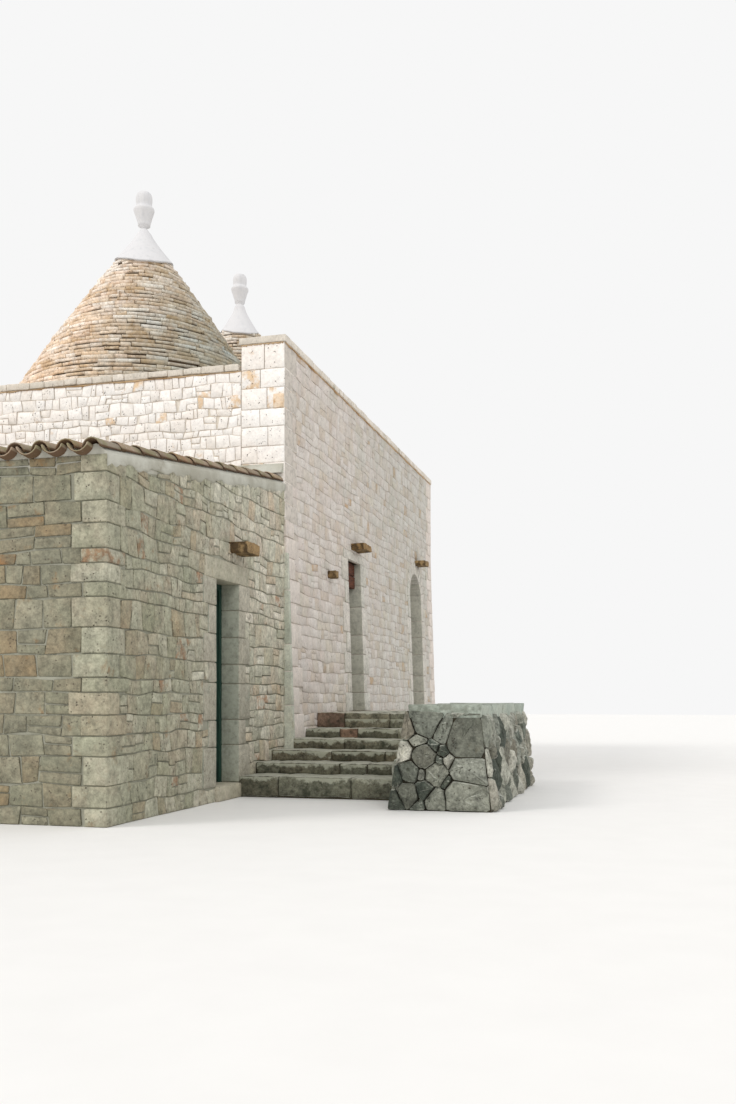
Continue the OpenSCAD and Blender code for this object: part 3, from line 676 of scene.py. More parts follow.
rough_cut, side_proud, corner_proud = (0.009, 0.004, 0.005, 0.004), (0.009, 0.017), (0.014, 0.018)
right_blocks = coursed(
    dice, right, side_beds, (0.0, annex_l), (0.09, 0.23), side_proud, taken=annex_taken,
    top=under_tiles, split=0.3, joint=0.006, unrest=0.020)
corner_stones = quoins(dice, (0.0, -annex_l), (1, -1), annex_beds, annex_quoin, corner_proud)
jambs = jamb_blocks(right, door_low, door_high, annex_jambs, lambda z: jamb_depth, 0.003)
lay("annex_right_stones", rubble_stone, right_blocks, rough_cut, seed=5)
jamb_stone = stone_finish(
    "worn jamb stone", ["A39E8F", "B0A999", "A9A393"],
    ["A4A092", "B3AFA0", "9A998B", "AAA696", "A19E90", "B6B1A3"],
    0.6, "8F988A", 0.35, "57554A", 0.7, 0.8, contrast=1.8, facing=((0, 1, 0), "A0A697", 0.7))
lay("annex_door_jambs", jamb_stone, jambs, (0.010, 0.004, 0.004, 0.006),
    (5, 4, 4), seed=7)

left_blocks = coursed(
    dice, left, side_beds, (0.0, annex_l), (0.12, 0.30), side_proud, split=0.25,
    top=under_tiles, joint=0.006, unrest=0.020,
    taken=corner_share(side_beds, annex_l, annex_quoin, True, False, False))
corner_stones += quoins(dice, (-annex_w, -annex_l), (-1, -1), annex_beds, annex_quoin,
                        corner_proud)
lay("annex_left_stones", rubble_stone, left_blocks, rough_cut, seed=9)
lay("annex_corner_stones", rubble_stone, corner_stones,
    (0.009, 0.004, 0.004, 0.003), (5, 4, 4), seed=10)
dress(raked_mortar, "annex_front_wall", "annex_left_wall", "annex_right_wall_near",
      "annex_right_wall_far", "annex_wall_over_door")

# Annex doorway
# One long stone bridges the doorway, a slab above it throws off the rain, and a worn stone
# makes the sill. The painted timber frame is set back in the opening and holds two pins.
dressed_stone = stone_finish(
    "dressed limestone", ["ADA894", "B8B2A0", "A6A390"], ["ABA794", "B6B09D", "A3A08D", "B2AA96"],
    0.4, "94866D", 0.4, "6B6453", 0.5, 0.6, contrast=1.3)
slab_stone = stone_finish(
    "ochre slab stone", ["8C6F49", "9B8059", "6F5B40"], ["83673F", "977B53", "6E573A", "A08862"],
    0.5, "4F3D29", 0.8, "3A2C1D", 0.8, 1.0, contrast=2.0, depth=0.016)
lay("annex_lintel_stone", dressed_stone, [
    right.block(lintel_low, lintel_high, door_head - 0.010, lintel_top, 0.018, jamb_depth, dice,
                0.006, 0.003)], (0.014, 0.006, 0.006, 0.006), (12, 4, 6), seed=13)
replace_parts(lay("annex_sill_stone", dressed_stone, [
    right.block(door_low, door_high, 0.0, door_sill, 0.042, annex_t - 0.002, dice, 0.0, 0.0)],
    (0.016, 0.004, 0.004, 0.0), (10, 5, 4), seed=15), "annex_door_sill")
dress(dressed_stone, "annex_door_lintel")


def timber_finish(name, light, dark, bare, bare_share, grain_along=2, rough=0.7, depth=0.002):
    """Sawn timber, painted or bare: the grain runs along one axis, with checks and worn spots"""
    material, place = new_material(name)
    stretch = [1.6 if axis == grain_along else 26.0 for axis in range(3)]
    fibre = noise(place * tuple(stretch), 3.0, 5.0, 0.65)
    rings = noise(place * tuple(s * 0.4 for s in stretch), 1.4, 2.0, 0.5)
    check = band(noise(place * tuple(s * 1.8 for s in stretch), 1.0, 2.0), 0.64, 0.7)
    colour = tinted(band(fibre, 0.35, 0.65), paint(dark), paint(light)) * (rings * 0.4 + 0.8)
    marked = band(noise(place, 7.0, 5.0, 0.7), 0.66 - 0.2 * bare_share, 0.76)
    colour = tinted(marked * band(fibre, 0.3, 0.6) * 0.85, colour, paint(bare))
    # Checks: the cracks are painted near black, as painted shade in them
    colour = tinted(check * 0.7, colour, paint("15120E"))
    finished(colour, fibre * 0.2 + rough - 0.1, fibre * 0.6 - check * 0.8, depth)
    return material


green_timber = timber_finish("dark green boards", "2C4A3E", "1B3229", "6B6A58", 0.25)
iron, place = new_material("hand-forged iron")
rust = band(noise(place, 18.0, 5.0, 0.7), 0.45, 0.65)
finished(tinted(rust, paint("2B2A28"), paint("5E3B26")), rust * 0.3 + 0.55,
         noise(place, 60.0, 4.0, 0.6), 0.0015, specular=0.5)
dress(green_timber, "annex_door_frame")

# Annex door
# Five upright boards, painted dark green and weathered, hung by two forged straps whose eyes
# drop over the frame's pins.
leaf_low, leaf_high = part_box("annex_door")
leaf_y0, leaf_y1 = leaf_low.y - block_y, -1.455
leaf_x1, leaf_t, board_count = -0.200, 0.045, 5
along_wall = (0.0, 0.0, -math.pi / 2)
board_w = (leaf_y1 - leaf_y0) / board_count
boards = [((leaf_x1 - leaf_t / 2, leaf_y0 + (k + 0.5) * board_w, (leaf_low.z + leaf_high.z) / 2),
           (board_w - 0.003, leaf_t - 0.002 * (k % 2), leaf_high.z - leaf_low.z), along_wall)
          for k in range(board_count)]
leaf = lay("annex_door_boards", green_timber, boards,
           (0.004, 0.0008, 0.0, 0.0), (4, 2, 12), seed=17, body="annex_door")
strap_l, strap_t, strap_w, strap_inset = 0.33, 0.005, 0.038, 0.26
strap_zs = (leaf_low.z + strap_inset, leaf_high.z - strap_inset)
lay("annex_door_straps", iron, [
    ((leaf_x1 - leaf_t - strap_t / 2, leaf_y1 - strap_l / 2, z), (strap_l, strap_t, strap_w),
     along_wall) for z in strap_zs], (0.0015, 0.0004, 0.0, 0.0), (8, 2, 4), seed=19,
    body="annex_door")


def lathed(outline, middle, steps, closed=False):
    """Rings of an outline of radii and heights, turned round an upright axis"""
    points = [placed(middle[0] + r * math.cos(2 * math.pi * k / steps),
                     middle[1] + r * math.sin(2 * math.pi * k / steps), z)
              for r, z in outline for k in range(steps)]
    rings = len(outline)
    faces = [(j * steps + k, j * steps + (k + 1) % steps, (j + 1) % rings * steps
              + (k + 1) % steps, (j + 1) % rings * steps + k)
             for j in range(rings if closed else rings - 1) for k in range(steps)]
    if not closed:
        faces += [tuple(range(steps))[::-1], tuple((rings - 1) * steps + k
                                                   for k in range(steps))]
    return points, faces


def meshed(name, finish, parts, body="house", smooth=True):
    """A piece from lists of points and faces"""
    points, faces = [], []
    for more_points, more_faces in parts:
        faces += [tuple(i + len(points) for i in f) for f in more_faces]
        points += more_points
    piece = added(name, mesh_of(name, points, faces))
    piece.data.materials.append(finish)
    piece.data.polygons.foreach_set("use_smooth", [smooth] * len(faces))
    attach(piece, body)
    return piece


hinge = frame["joints"][0]["pos_m"]
eye_out, eye_in, eye_h = 0.0136, 0.0071, 0.05
eyes = [lathed([(eye_in, z - eye_h / 2), (eye_out, z - eye_h / 2), (eye_out, z + eye_h / 2),
                (eye_in, z + eye_h / 2)], (hinge[0] - facade_x, hinge[1] - block_y), 32, True)
        for z in strap_zs]
meshed("annex_door_eyes", iron, eyes, "annex_door", False)
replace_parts(leaf, "annex_door")

# Annex roof
# Fired clay barrel tiles, each about 42 cm long: a row lies hollow side up to carry the water
# and the next covers the joints, bedded in lime that closes the waves over the walls.
tile_rows, tile_courses, side_out, eaves_out = 29, 12, 0.025, 0.07
tile_pitch = (annex_w + 2 * side_out) / tile_rows
tile_l, tile_show, tile_r, tile_wall, cover_top = 0.42, 0.35, 0.090, 0.013, 0.120


def tile_shape(name):
    """One tapered half tube, closed all round, its wide end at the start"""
    turns, points, faces = 8, [], []
    for end, r in ((0.0, tile_r), (tile_l, tile_r - 0.012)):
        for wall in (0.0, tile_wall):
            for k in range(turns + 1):
                a = math.radians(8 + 164 * k / turns)
                points.append(((r - wall) * math.cos(a), end, (r - wall) * math.sin(a)))
    row = turns + 1
    for k in range(turns):
        faces += [(k, k + 1, 2 * row + k + 1, 2 * row + k),
                  (row + k + 1, row + k, 3 * row + k, 3 * row + k + 1),
                  (k + 1, k, row + k, row + k + 1),
                  (2 * row + k, 2 * row + k + 1, 3 * row + k + 1, 3 * row + k)]
    faces += [(0, 2 * row, 3 * row, row), (turns, row + turns, 3 * row + turns,
                                           2 * row + turns)]
    return added(name, mesh_of(name, points, faces))


tiled, given = new_tree("roof of tiles", {
    "Tiles": "Geometry", "Tile": "Object", "Warp": "Float", "Finish": "Material"}, "Roof")
one = given["Tile"].make("GeometryNodeObjectInfo", (), {"Object": given["Tile"]}, "Geometry")
turn, size = (carried(one, "FLOAT_VECTOR", label) for label in ("turn", "size"))
roof = one.make("GeometryNodeInstanceOnPoints", (), {
    "Points": given["Tiles"], "Instance": one, "Scale": size,
    "Rotation": turn.make("FunctionNodeEulerToRotation", (), {"Euler": turn})})
roof = roof.make("GeometryNodeRealizeInstances", (), {"Geometry": roof})
warp = noise(roof.make("GeometryNodeInputPosition"), 7.0, 2.0, 0.5, "Color") - 0.5
handed_out(roof, warp * given["Warp"] * 2.0, given["Finish"], "Roof")

clay, place = new_material("weathered barrel tile")
tone = place.make("ShaderNodeAttribute", {"attribute_name": "tone"}, out="Fac")
own = place + tone * 23.0
body = tone.make("ShaderNodeValToRGB", {"stops": [
    (0.0, paint("998877")), (0.2, paint("A8937D")), (0.4, paint("8B7C6B")),
    (0.6, paint("A08871")), (0.8, paint("968A7A")), (0.93, paint("97755A"))]}, {"Fac": tone})
soot = noise(own, 9.0, 5.0, 0.65)
fine = noise(own, 70.0, 3.0, 0.6)
colour = body * (soot * 0.5 + fine * 0.25 + 0.62)
colour = tinted(band(noise(place, 5.0, 5.0, 0.7), 0.45, 0.6) * 0.7, colour, paint("827E5C"))
colour = tinted(band(noise(own + 4.0, 26.0, 4.0, 0.6), 0.6, 0.7) * 0.6, colour,
                paint("C9C2B0"))
# Faces turned downwards are painted dark brown: painted shade on the undersides
under = band(part(place.make("ShaderNodeNewGeometry", out="Normal"), "Z"), 0.1, -0.3)
colour = tinted(under * 0.85, colour, paint("5D4430"))
finished(colour, fine * 0.2 + 0.7, soot * 0.6 + fine * 0.4, 0.004)

tile = tile_shape("tile_pattern")
dice = random.Random(23)
foot_y = -annex_l - eaves_out
foot_z = eaves_z - eaves_out * math.tan(pitch) + deck_rise + 0.001
tile_points, tile_turns, tile_sizes, tile_tones = [], [], [], []
for k in range(2 * tile_rows - 1):
    cover = k % 2 == 0
    x = -annex_w - side_out + (k // 2 + (0.5 if cover else 1.0)) * tile_pitch
    for row in range(tile_courses):
        s = row * tile_show + (0.0 if cover else -0.004)
        lift = (cover_top - tile_r if cover else tile_r + 0.004) - 0.004
        y = foot_y + s * math.cos(pitch) - lift * math.sin(pitch)
        z = foot_z + s * math.sin(pitch) + lift * math.cos(pitch)
        tile_points.append(placed(x + dice.uniform(-0.003, 0.003), y, z))
        tilt = pitch - math.radians(1.4) + dice.uniform(-0.006, 0.006)
        tile_turns += [tilt, 0.0 if cover else math.pi, dice.uniform(-0.012, 0.012)]
        tile_sizes += [dice.uniform(0.95, 1.03) if cover else 1.08, 1.0, 1.0]
        tile_tones.append(dice.random())
roof_tiles = grown("roof_tiles", tiled, tile_points, {
    "turn": tile_turns, "size": tile_sizes, "tone": tile_tones},
    {"Tile": tile, "Warp": 0.004, "Finish": clay})
bpy.data.objects.remove(tile)
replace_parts(roof_tiles, "annex_roof_tiles")

pale_mortar = mortar_finish("pale lime mortar", "C2C1B6", "A8A597", "857A64", 0.6, 0.012)
wave_steps, fill_points, fill_faces = 8, [], []
wave_count = tile_rows * wave_steps
for y_share in (0.0, 1.0):
    for i in range(wave_count + 1):
        u = -annex_w + annex_w * i / wave_count
        crest = 0.5 - 0.5 * math.cos(2 * math.pi * (u + annex_w + side_out) / tile_pitch)
        lift = -0.004 + 0.075 * crest
        y = -annex_l - 0.006 + y_share * (annex_l - 0.03)
        base = annex_top(annex_l + y) + deck_rise
        for z in (base - 0.05, base + lift):
            fill_points.append(placed(u, y, z))
row = 2 * (wave_count + 1)
for i in range(wave_count):
    a = 2 * i
    fill_faces += [(a, a + 2, a + 3, a + 1), (row + a, row + a + 1, row + a + 3, row + a + 2),
                   (a + 1, a + 3, row + a + 3, row + a + 1), (a, row + a, row + a + 2, a + 2)]
fill_faces += [(0, 1, row + 1, row), (row - 2, 2 * row - 2, 2 * row - 1, row - 1)]
meshed("roof_tile_bed", pale_mortar, [(fill_points, fill_faces)], smooth=False)


def mortar_strip(corners, thick, seed, amount=0.010):
    """A band of mortar pressed by hand along a slope: a bar with an uneven face and edges"""
    dice, steps = random.Random(seed), 60
    (x0, y0, z0), (x1, y1, z1), out = corners
    points, faces = [], []
    rough = [[dice.uniform(-1, 1) for k in range(3)] for i in range(steps + 1)]
    for i in range(steps + 1):
        t = i / steps
        x, y, z = (x0 + (x1 - x0) * t, y0 + (y1 - y0) * t, z0 + (z1 - z0) * t)
        a, b, c = (v * amount for v in rough[i])
        for push, rise in ((-0.02, -thick[1] + a * 3), (thick[0] * 0.3, -thick[1] + a * 3),
                           (thick[0] + b * 0.5, -thick[1] * 0.8 + a * 2),
                           (thick[0] + c * 0.5, -thick[1] * 0.2), (thick[0] * 0.6, 0.0),
                           (-0.02, 0.0)):
            points.append(placed(x + out[0] * push, y + out[1] * push, z + rise))
    for i in range(steps):
        a, b = i * 6, (i + 1) * 6
        for k in range(6):
            n = (k + 1) % 6
            faces.append((a + k, b + k, b + n, a + n))
    faces += [tuple(range(6)), tuple(steps * 6 + k for k in range(6))[::-1]]
    return points, faces


verge = 0.022, 0.11
verge_foot = annex_top(0.0) + deck_rise - 0.002
verge_head = annex_top(annex_l) + deck_rise - 0.002
meshed("verge_mortar", pale_mortar, [
    mortar_strip(((0.0, -annex_l - 0.008, verge_foot), (0.0, -0.004, verge_head), (1, 0)),
                 verge, seed=31),
    mortar_strip(((-annex_w, -0.004, verge_head), (-annex_w, -annex_l - 0.008, verge_foot),
                  (-1, 0)), verge, seed=33)])
dress(pale_mortar, "annex_roof_deck", "annex_roof_flashing")

# Main block walls
# The tall block behind is built of smaller stones: limewashed towards the annex, bare pinkish
# limestone with flush pale joints along the facade, whose foot leans outward. Big corner stones.
wall_h, facade_h, block_l, block_w, facade_t = 4.88, 5.18, 8.34, 6.5, 0.53
batter, batter_top = 0.12, 3.55
# Faces turned along x, such as the facade side of the front end stones, take a greyer tint:
# painted shade
limewashed = stone_finish(
    "limewashed limestone", ["F7F1EB", "FCF9F5", "F9F2EC"],
    ["F9F4EE", "FCF9F5", "F4ECE2", "FBF6F0", "EEE3D5", "FAF5F0", "FDFBF8"],
    0.45, "DDBE9B", 0.35, "A88C68", 0.4, 1.2, contrast=0.75, depth=0.006, line_from=1.0,
    rare="DDB98A", spots=7.0, facing=((1, 0, 0), "D0C8BE", 1.0))
# The shade darkens and cools the facade towards its far end: painted shade
facade_stone = stone_finish(
    "pinkish facade limestone", ["CBC4BA", "D6CFC9", "CEC3BB", "C5C0B6"],
    ["CDC5BC", "D8D1CB", "C3BBB0", "D1C5BD", "D0C9C1", "DBD5CE", "C6B8AD", "CDC3B2", "BDAC98"],
    0.6, "B0957A", 0.3, "877B6C", 0.4, 1.0, contrast=0.85, depth=0.005, line_from=0.95,
    rare="B99C7C", spots=7.0, shade=("Y", placed(0, 1.0, 0)[1], placed(0, 6.0, 0)[1], "F0F4F3"))
flush_mortar = mortar_finish("flush pale mortar", "CFC7BD", "BBB2A7", "857969", 0.5)
lime_coat = mortar_finish("limewash over mortar", "EDE6DB", "DDD2C2", "A08A6C", 0.5)


def foot_push(z):
    """How far the leaning foot of the facade stands out at a height"""
    return batter * max(0.0, 1 - z / batter_top)


def foot_lean(z):
    return -math.atan2(batter, batter_top) if z < batter_top else 0.0


main_front = Face((0.0, 0.0), (-1, 0), (0, -1))
facade = Face((0.0, 0.0), (0, 1), (1, 0), batter, batter_top)
main_left = Face((-block_w, 0.0), (0, 1), (-1, 0))
main_back = Face((0.0, block_l), (-1, 0), (0, 1))
main_quoin = (0.42, 0.27)
dice = random.Random(41)
main_beds = course_levels(dice, [0.0, 0.835, 1.9, 2.98, 3.11, 3.55, 4.7, wall_h],
                          (0.10, 0.175))
high_beds = course_levels(dice, [wall_h, facade_h], (0.12, 0.17))
facade_beds = main_beds + high_beds[1:]
corner_beds = course_levels(dice, [0.0, 0.835, 1.9, 3.55, wall_h, facade_h], (0.18, 0.30))

upper_beds = course_levels(dice, [3.42, wall_h], (0.08, 0.155))
lay("main_front_stones", limewashed, coursed(
    dice, main_front, upper_beds, (0.0, block_w), (0.07, 0.20), (0.006, 0.018),
    taken=lambda low, high: [(-1, facade_t)], split=0.15, joint=0.004, unrest=0.018),
    (0.007, 0.005, 0.006, 0.004), (4, 2, 4), seed=43)

# The facade's stones leave room for the doorways and the timber lintel
door_y0, door_y1, floor_z, door_z1, lintel_z1 = 2.54, 3.20, 0.835, 2.98, 3.11
lintel_y0, lintel_y1 = door_y0 - 0.2, door_y1 + 0.2
arch_y0, arch_y1, spring_z, arch_r, ring_h = 6.44, 7.35, 2.825, 0.455, 0.21
arch_y, jamb_sizes = (arch_y0 + arch_y1) / 2, (0.30, 0.17)
door_jambs = jamb_sizes, [floor_z, 1.10, 1.37, 1.66, 1.94, 2.35, 2.66, door_z1]
arch_jambs = jamb_sizes, course_levels(dice, [floor_z, spring_z], (0.22, 0.40))


def facade_taken(low, high):
    middle = (low + high) / 2
    k = sum(1 for bed in corner_beds[1:-1] if middle >= bed)
    near = quoin_length(main_quoin, k, False)
    taken = [(-1.0, near), (block_l - near, block_l + 1)]
    if floor_z < middle < door_z1:
        reach = jamb_length(middle, *door_jambs)
        taken.append((door_y0 - reach, door_y1 + reach))
    elif floor_z < middle < lintel_z1:
        taken.append((lintel_y0, lintel_y1))
    elif middle < floor_z:
        taken += [(door_y0, door_y1), (arch_y0, arch_y1)]
    if floor_z < middle < spring_z:
        reach = jamb_length(middle, *arch_jambs)
        taken.append((arch_y0 - reach, arch_y1 + reach))
    elif spring_z <= middle < spring_z + arch_r + ring_h:
        reach = math.sqrt(max(0.0, (arch_r + ring_h - 0.02) ** 2 - (middle - spring_z) ** 2))
        taken.append((arch_y - reach, arch_y + reach))
    return taken


lay("facade_stones", facade_stone, coursed(
    dice, facade, facade_beds, (0.0, block_l), (0.10, 0.28), (0.006, 0.011),
    taken=facade_taken, split=0.2, joint=0.003, unrest=0.016),
    (0.006, 0.005, 0.005, 0.004), (4, 2, 4), seed=47)

# Big corner stones, long one way and then the other, and the stones between them on the ends
corner_blocks, end_blocks, limed_from = [], [], 3.0
for end_y, sign, end_face in ((0.0, -1, main_front), (block_l, 1, main_back)):
    for k, (low, high) in enumerate(zip(corner_beds, corner_beds[1:])):
        middle, out = (low + high) / 2, dice.uniform(0.012, 0.016)
        across = dice.uniform(0.27, 0.36) if k % 2 else dice.uniform(0.17, 0.25)
        deep, push = quoin_length(main_quoin, k, False), foot_push(middle)
        limed = sign < 0 and low > limed_from
        (end_blocks if limed else corner_blocks).append((
            ((push + out - across) / 2, end_y + sign * (out - deep) / 2, middle),
            (across + push + out, deep + out, high - low - 0.006),
            (dice.uniform(-0.004, 0.004), foot_lean(middle), dice.uniform(-0.004, 0.004))))
        if sign > 0 or limed:
            (end_blocks if limed else corner_blocks).append(end_face.block(
                across, facade_t, low, high, dice.uniform(0.010, 0.016), 0.2, dice, 0.006, 0.003))
corner_stone = stone_finish(
    "smooth corner stone", ["D4CBC1", "DCD3CB", "CEC4BA"],
    ["D5CCC2", "DED5CE", "CCC1B7", "D2C6BD", "D9D0C6"], 0.5, "B49B78", 0.2, "82776A", 0.5,
    0.5, contrast=0.9, depth=0.004)
lay("facade_corner_stones", corner_stone, corner_blocks,
    (0.009, 0.004, 0.004, 0.002), (5, 4, 4), seed=49)
lay("front_end_stones", limewashed, end_blocks,
    (0.009, 0.005, 0.005, 0.002), (5, 4, 4), seed=50)
ochre_stone = stone_finish(
    "ochre limestone", ["E2C096", "F5ECE0", "E0BD92"], ["E8CDA8", "F5EDE2", "DCB686"], 0.6,
    "C08B4C", 0.8, "8F6A3C", 0.3, 1.0, spots=14.0)
lay("ochre_end_stone", ochre_stone, [
    main_front.block(-0.008, 0.13, 4.41, 4.58, 0.020, 0.06, dice, 0.004, 0.0)],
    (0.010, 0.006, 0.006, 0.006), seed=48)

# The leaning foot of the corner is faced by greyer upright stones where it stands out
foot_beds, foot_back, foot_proud = [0.0, 0.94, 1.335, 1.65, 2.28, 2.72], 0.09, 0.036
foot_blocks = []
for low, high in zip(foot_beds, foot_beds[1:]):
    middle = (low + high) / 2
    push = foot_push(middle)
    foot_blocks.append((((push - foot_back) / 2, 0.017, middle),
                        (push + foot_back + foot_proud, 0.074, high - low - 0.007),
                        (0.0, foot_lean(middle), 0.0)))
foot_stone = stone_finish(
    "greenish foot stone", ["B4B8A9", "C1C2B3", "ABB0A0"], ["B7BAAB", "C4C4B6", "AEB2A3"], 0.6,
    "A39A80", 0.3, "66645A", 0.6, 0.7, contrast=1.4)
lay("corner_foot_stones", foot_stone, foot_blocks,
    (0.008, 0.003, 0.003, 0.0), (5, 4, 4), seed=51)

dice = random.Random(53)
unseen_beds = course_levels(dice, [0.0, 2.4, 3.36, 4.7, wall_h], (0.13, 0.22))
back_quoin, back_cut = (0.40, 0.24), (0.010, 0.004, 0.005, 0.004)


def plain_wall(face, length, taken):
    return coursed(dice, face, unseen_beds, (0.0, length), (0.16, 0.34), (0.009, 0.016),
                   split=0.2, unrest=0.020, taken=taken)


def back_taken(low, high):
    return corner_share(unseen_beds, block_w, back_quoin, False, True, True)(low, high) + [
        (-1.0, facade_t)]


lay("main_left_stones", facade_stone, plain_wall(
    main_left, block_l, corner_share(unseen_beds, block_l, back_quoin, False, True, False)),
    back_cut, seed=55)
lay("back_corner_stones", facade_stone, quoins(
    dice, (-block_w, block_l), (-1, 1), unseen_beds, back_quoin, corner_proud),
    (0.010, 0.004, 0.004, 0.003), (5, 4, 4), seed=56)
lay("main_back_stones", facade_stone, plain_wall(main_back, block_w, back_taken),
    back_cut, seed=57)
dress(flush_mortar, "facade_near", "facade_middle", "facade_far", "facade_over_main_door",
      "facade_over_arch")
dress(lime_coat, "main_front_wall")
dress(raked_mortar, "main_left_wall", "main_back_wall")
dress(inside_lime, "main_floor", "annex_floor")

# Inner faces of the parapets, one to three courses over the terrace
terrace_z, wall_t = 4.7, 0.55
inner = []
for start, along, out, reach, top_z in (
        ((-facade_t, wall_t), (0, 1), (-1, 0), block_l - 2 * wall_t, facade_h),
        ((-facade_t, wall_t), (-1, 0), (0, 1), block_w - facade_t - wall_t, wall_h),
        ((-facade_t, block_l - wall_t), (-1, 0), (0, -1), block_w - facade_t - wall_t, wall_h),
        ((wall_t - block_w, wall_t), (0, 1), (1, 0), block_l - 2 * wall_t, wall_h)):
    beds = course_levels(dice, [terrace_z, top_z], (0.15, 0.22))
    inner += coursed(dice, Face(start, along, out), beds, (0.0, reach), (0.18, 0.36),
                     (0.008, 0.014), depth=0.06)
lay("parapet_inner_stones", limewashed, inner, seed=59)

# Facade doorways
# The square doorway has a lintel of four old timbers under a projecting slab. The far one is
# closed by a ring of wedge stones. Both have long and short stones at the sides and stone sills.
facade_jambs = []
for low_side, high_side, jambs in ((door_y0, door_y1, door_jambs),
                                   (arch_y0, arch_y1, arch_jambs)):
    facade_jambs += jamb_blocks(facade, low_side, high_side, jambs,
                                lambda z: facade_t + foot_push(z) - 0.001, 0.002)
pale_jamb_stone = stone_finish(
    "pale jamb stone", ["C1BDB3", "CEC8BF", "C4BEB4"],
    ["C7C1B7", "BDBCB2", "D0C9C0", "B8BAB0", "C4BEB2"], 0.6, "A3A598", 0.35, "6F6A60", 0.6,
    0.9, contrast=1.6, facing=((0, 1, 0), "B3B2A3", 0.75))
lay("facade_jambs", pale_jamb_stone, facade_jambs,
    (0.010, 0.003, 0.003, 0.0), (5, 4, 4), seed=61)

wedge_count, ring_proud, ring_blocks = 13, 0.016, []
for k in range(wedge_count):
    a = math.pi * (k + 0.5) / wedge_count
    r = arch_r + ring_h / 2 - 0.014
    z = spring_z + r * math.sin(a)
    push = foot_push(z)
    wide = 2 * r * math.sin(math.pi / 2 / wedge_count) - 0.006
    ring_blocks.append((
        ((push + ring_proud - facade_t) / 2, arch_y + r * math.cos(a), z),
        (wide, facade_t + push + ring_proud, ring_h), (0.0, a - math.pi / 2, -math.pi / 2),
        ring_h / 2 / r, (0.0, 0.0, 0.0)))
lay("arch_ring_stones", pale_jamb_stone, ring_blocks,
    (0.009, 0.003, 0.002, 0.0), (5, 4, 4), seed=63)

old_timber = timber_finish("old lintel timber", "4A3523", "2C2018", "7A6248", 0.3, 1, 0.8, 0.004)
timber_n, timber_l, door_y = 4, 1.04, (door_y0 + door_y1) / 2
timber_w = (foot_push(door_z1) - 0.03 + facade_t) / timber_n
along_door = (0.0, 0.0, math.pi / 2)
timbers = [((-facade_t + (k + 0.5) * timber_w, door_y,
             (door_z1 + lintel_z1) / 2 + dice.uniform(-0.004, 0.004)),
            (timber_l, timber_w - 0.008, lintel_z1 - door_z1 - 0.004), along_door)
           for k in range(timber_n)]
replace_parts(lay("main_lintel_timbers", old_timber, timbers,
                (0.014, 0.005, 0.006, 0.0), (14, 2, 5), seed=65), "main_door_lintel")
lay("lintel_facing_stone", pale_jamb_stone, [
    facade.block(lintel_y0, lintel_y1, door_z1, lintel_z1, 0.014, 0.05, dice, 0.006, 0.002)],
    (0.010, 0.004, 0.004, 0.006), (12, 2, 5), seed=66)

# A reddish timber head in two parts closes the top of the square doorway behind its jambs
head_z0, head_z1, head_x, head_t = 2.62, 2.80, -0.05, 0.12
head_timber = timber_finish("red-brown head timber", "6B3F2C", "3E2419", "8A6A50", 0.3, 1, 0.8,
                            0.004)
heads = [((head_x - head_t / 2, door_y, (low + high) / 2),
          (door_y1 - door_y0 + 0.02, head_t - 0.012 * k, high - low - 0.006), along_door)
         for k, (low, high) in enumerate(((head_z0, head_z1), (head_z1, door_z1)))]
lay("main_door_head", head_timber, heads, (0.012, 0.004, 0.004, 0.0), (12, 2, 5),
    seed=68)

# A slab over each doorway throws off the rain, and a smaller bracket stone stands beside them
over_slabs = [face.block(*span, *heights, out, 0.1, dice, 0.0, slack)
              for face, span, heights, out, slack in (
                  (facade, (2.75, 3.18), (3.135, 3.235), 0.20, 0.01),
                  (facade, (6.93, 7.25), (3.43, 3.53), 0.20, 0.01),
                  (right, (2.46, 2.81), (2.49, 2.61), 0.20, 0.01),
                  (facade, (1.57, 1.72), (2.60, 2.70), 0.12, 0.02))]
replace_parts(lay("rain_slabs", slab_stone, over_slabs, (0.016, 0.020, 0.018, 0.0),
                (12, 2, 5), seed=67), "projecting_slabs")
sill_out, sill_t = foot_push(floor_z) + 0.04, 0.09
sills = [(((sill_out - facade_t) / 2, (low_y + high_y) / 2, floor_z - sill_t / 2 + 0.002),
          (high_y - low_y - 0.004, facade_t + sill_out, sill_t + 0.002), along_wall)
         for low_y, high_y in ((door_y0, door_y1), (arch_y0, arch_y1))]
lay("facade_sill_stones", dressed_stone, sills, (0.014, 0.003, 0.002, 0.0),
    (10, 5, 4), seed=69)
dress(flush_mortar, "facade_sills")

# Terrace and copings
# The flat roof between the parapets is paved with pale slabs laid level in lime, and each
# parapet is closed by a row of thin slabs that stand out over both faces.
coping_stone = stone_finish(
    "pale coping slab", ["D9D1C4", "E4DCD1", "CFC7BA"],
    ["DDD5C8", "E7DFD4", "D1C8BA", "E2D9CC", "D3CABC"], 0.6, "A88F6E", 0.3, "75634B", 0.7,
    0.7, moss="A8A08C", moss_share=0.1, contrast=1.0)
dice = random.Random(71)


def coping(x0, x1, y0, y1, z, thick=0.09, lengths=(0.17, 0.36)):
    """Slabs across a wall, end to end along its longer side"""
    along_y = y1 - y0 > x1 - x0
    low, high, wide = (y0, y1, x1 - x0) if along_y else (x0, x1, y1 - y0)
    shares = [dice.uniform(*lengths) for k in range(round((high - low) / (sum(lengths) / 2)))]
    blocks, at = [], low
    for share in shares:
        after = at + share * (high - low) / sum(shares)
        middle, size = (at + after) / 2, (after - at - 0.006, wide - dice.uniform(0.0, 0.016))
        where = ((x0 + x1) / 2, middle) if along_y else (middle, (y0 + y1) / 2)
        blocks.append(((*where, z + thick / 2 + dice.uniform(-0.002, 0.002)),
                       (*size, thick - dice.uniform(0.002, 0.014)),
                       (*jitter(dice, 0.008, 0.01), math.pi / 2 if along_y else 0.0)))
        at = after
    return blocks


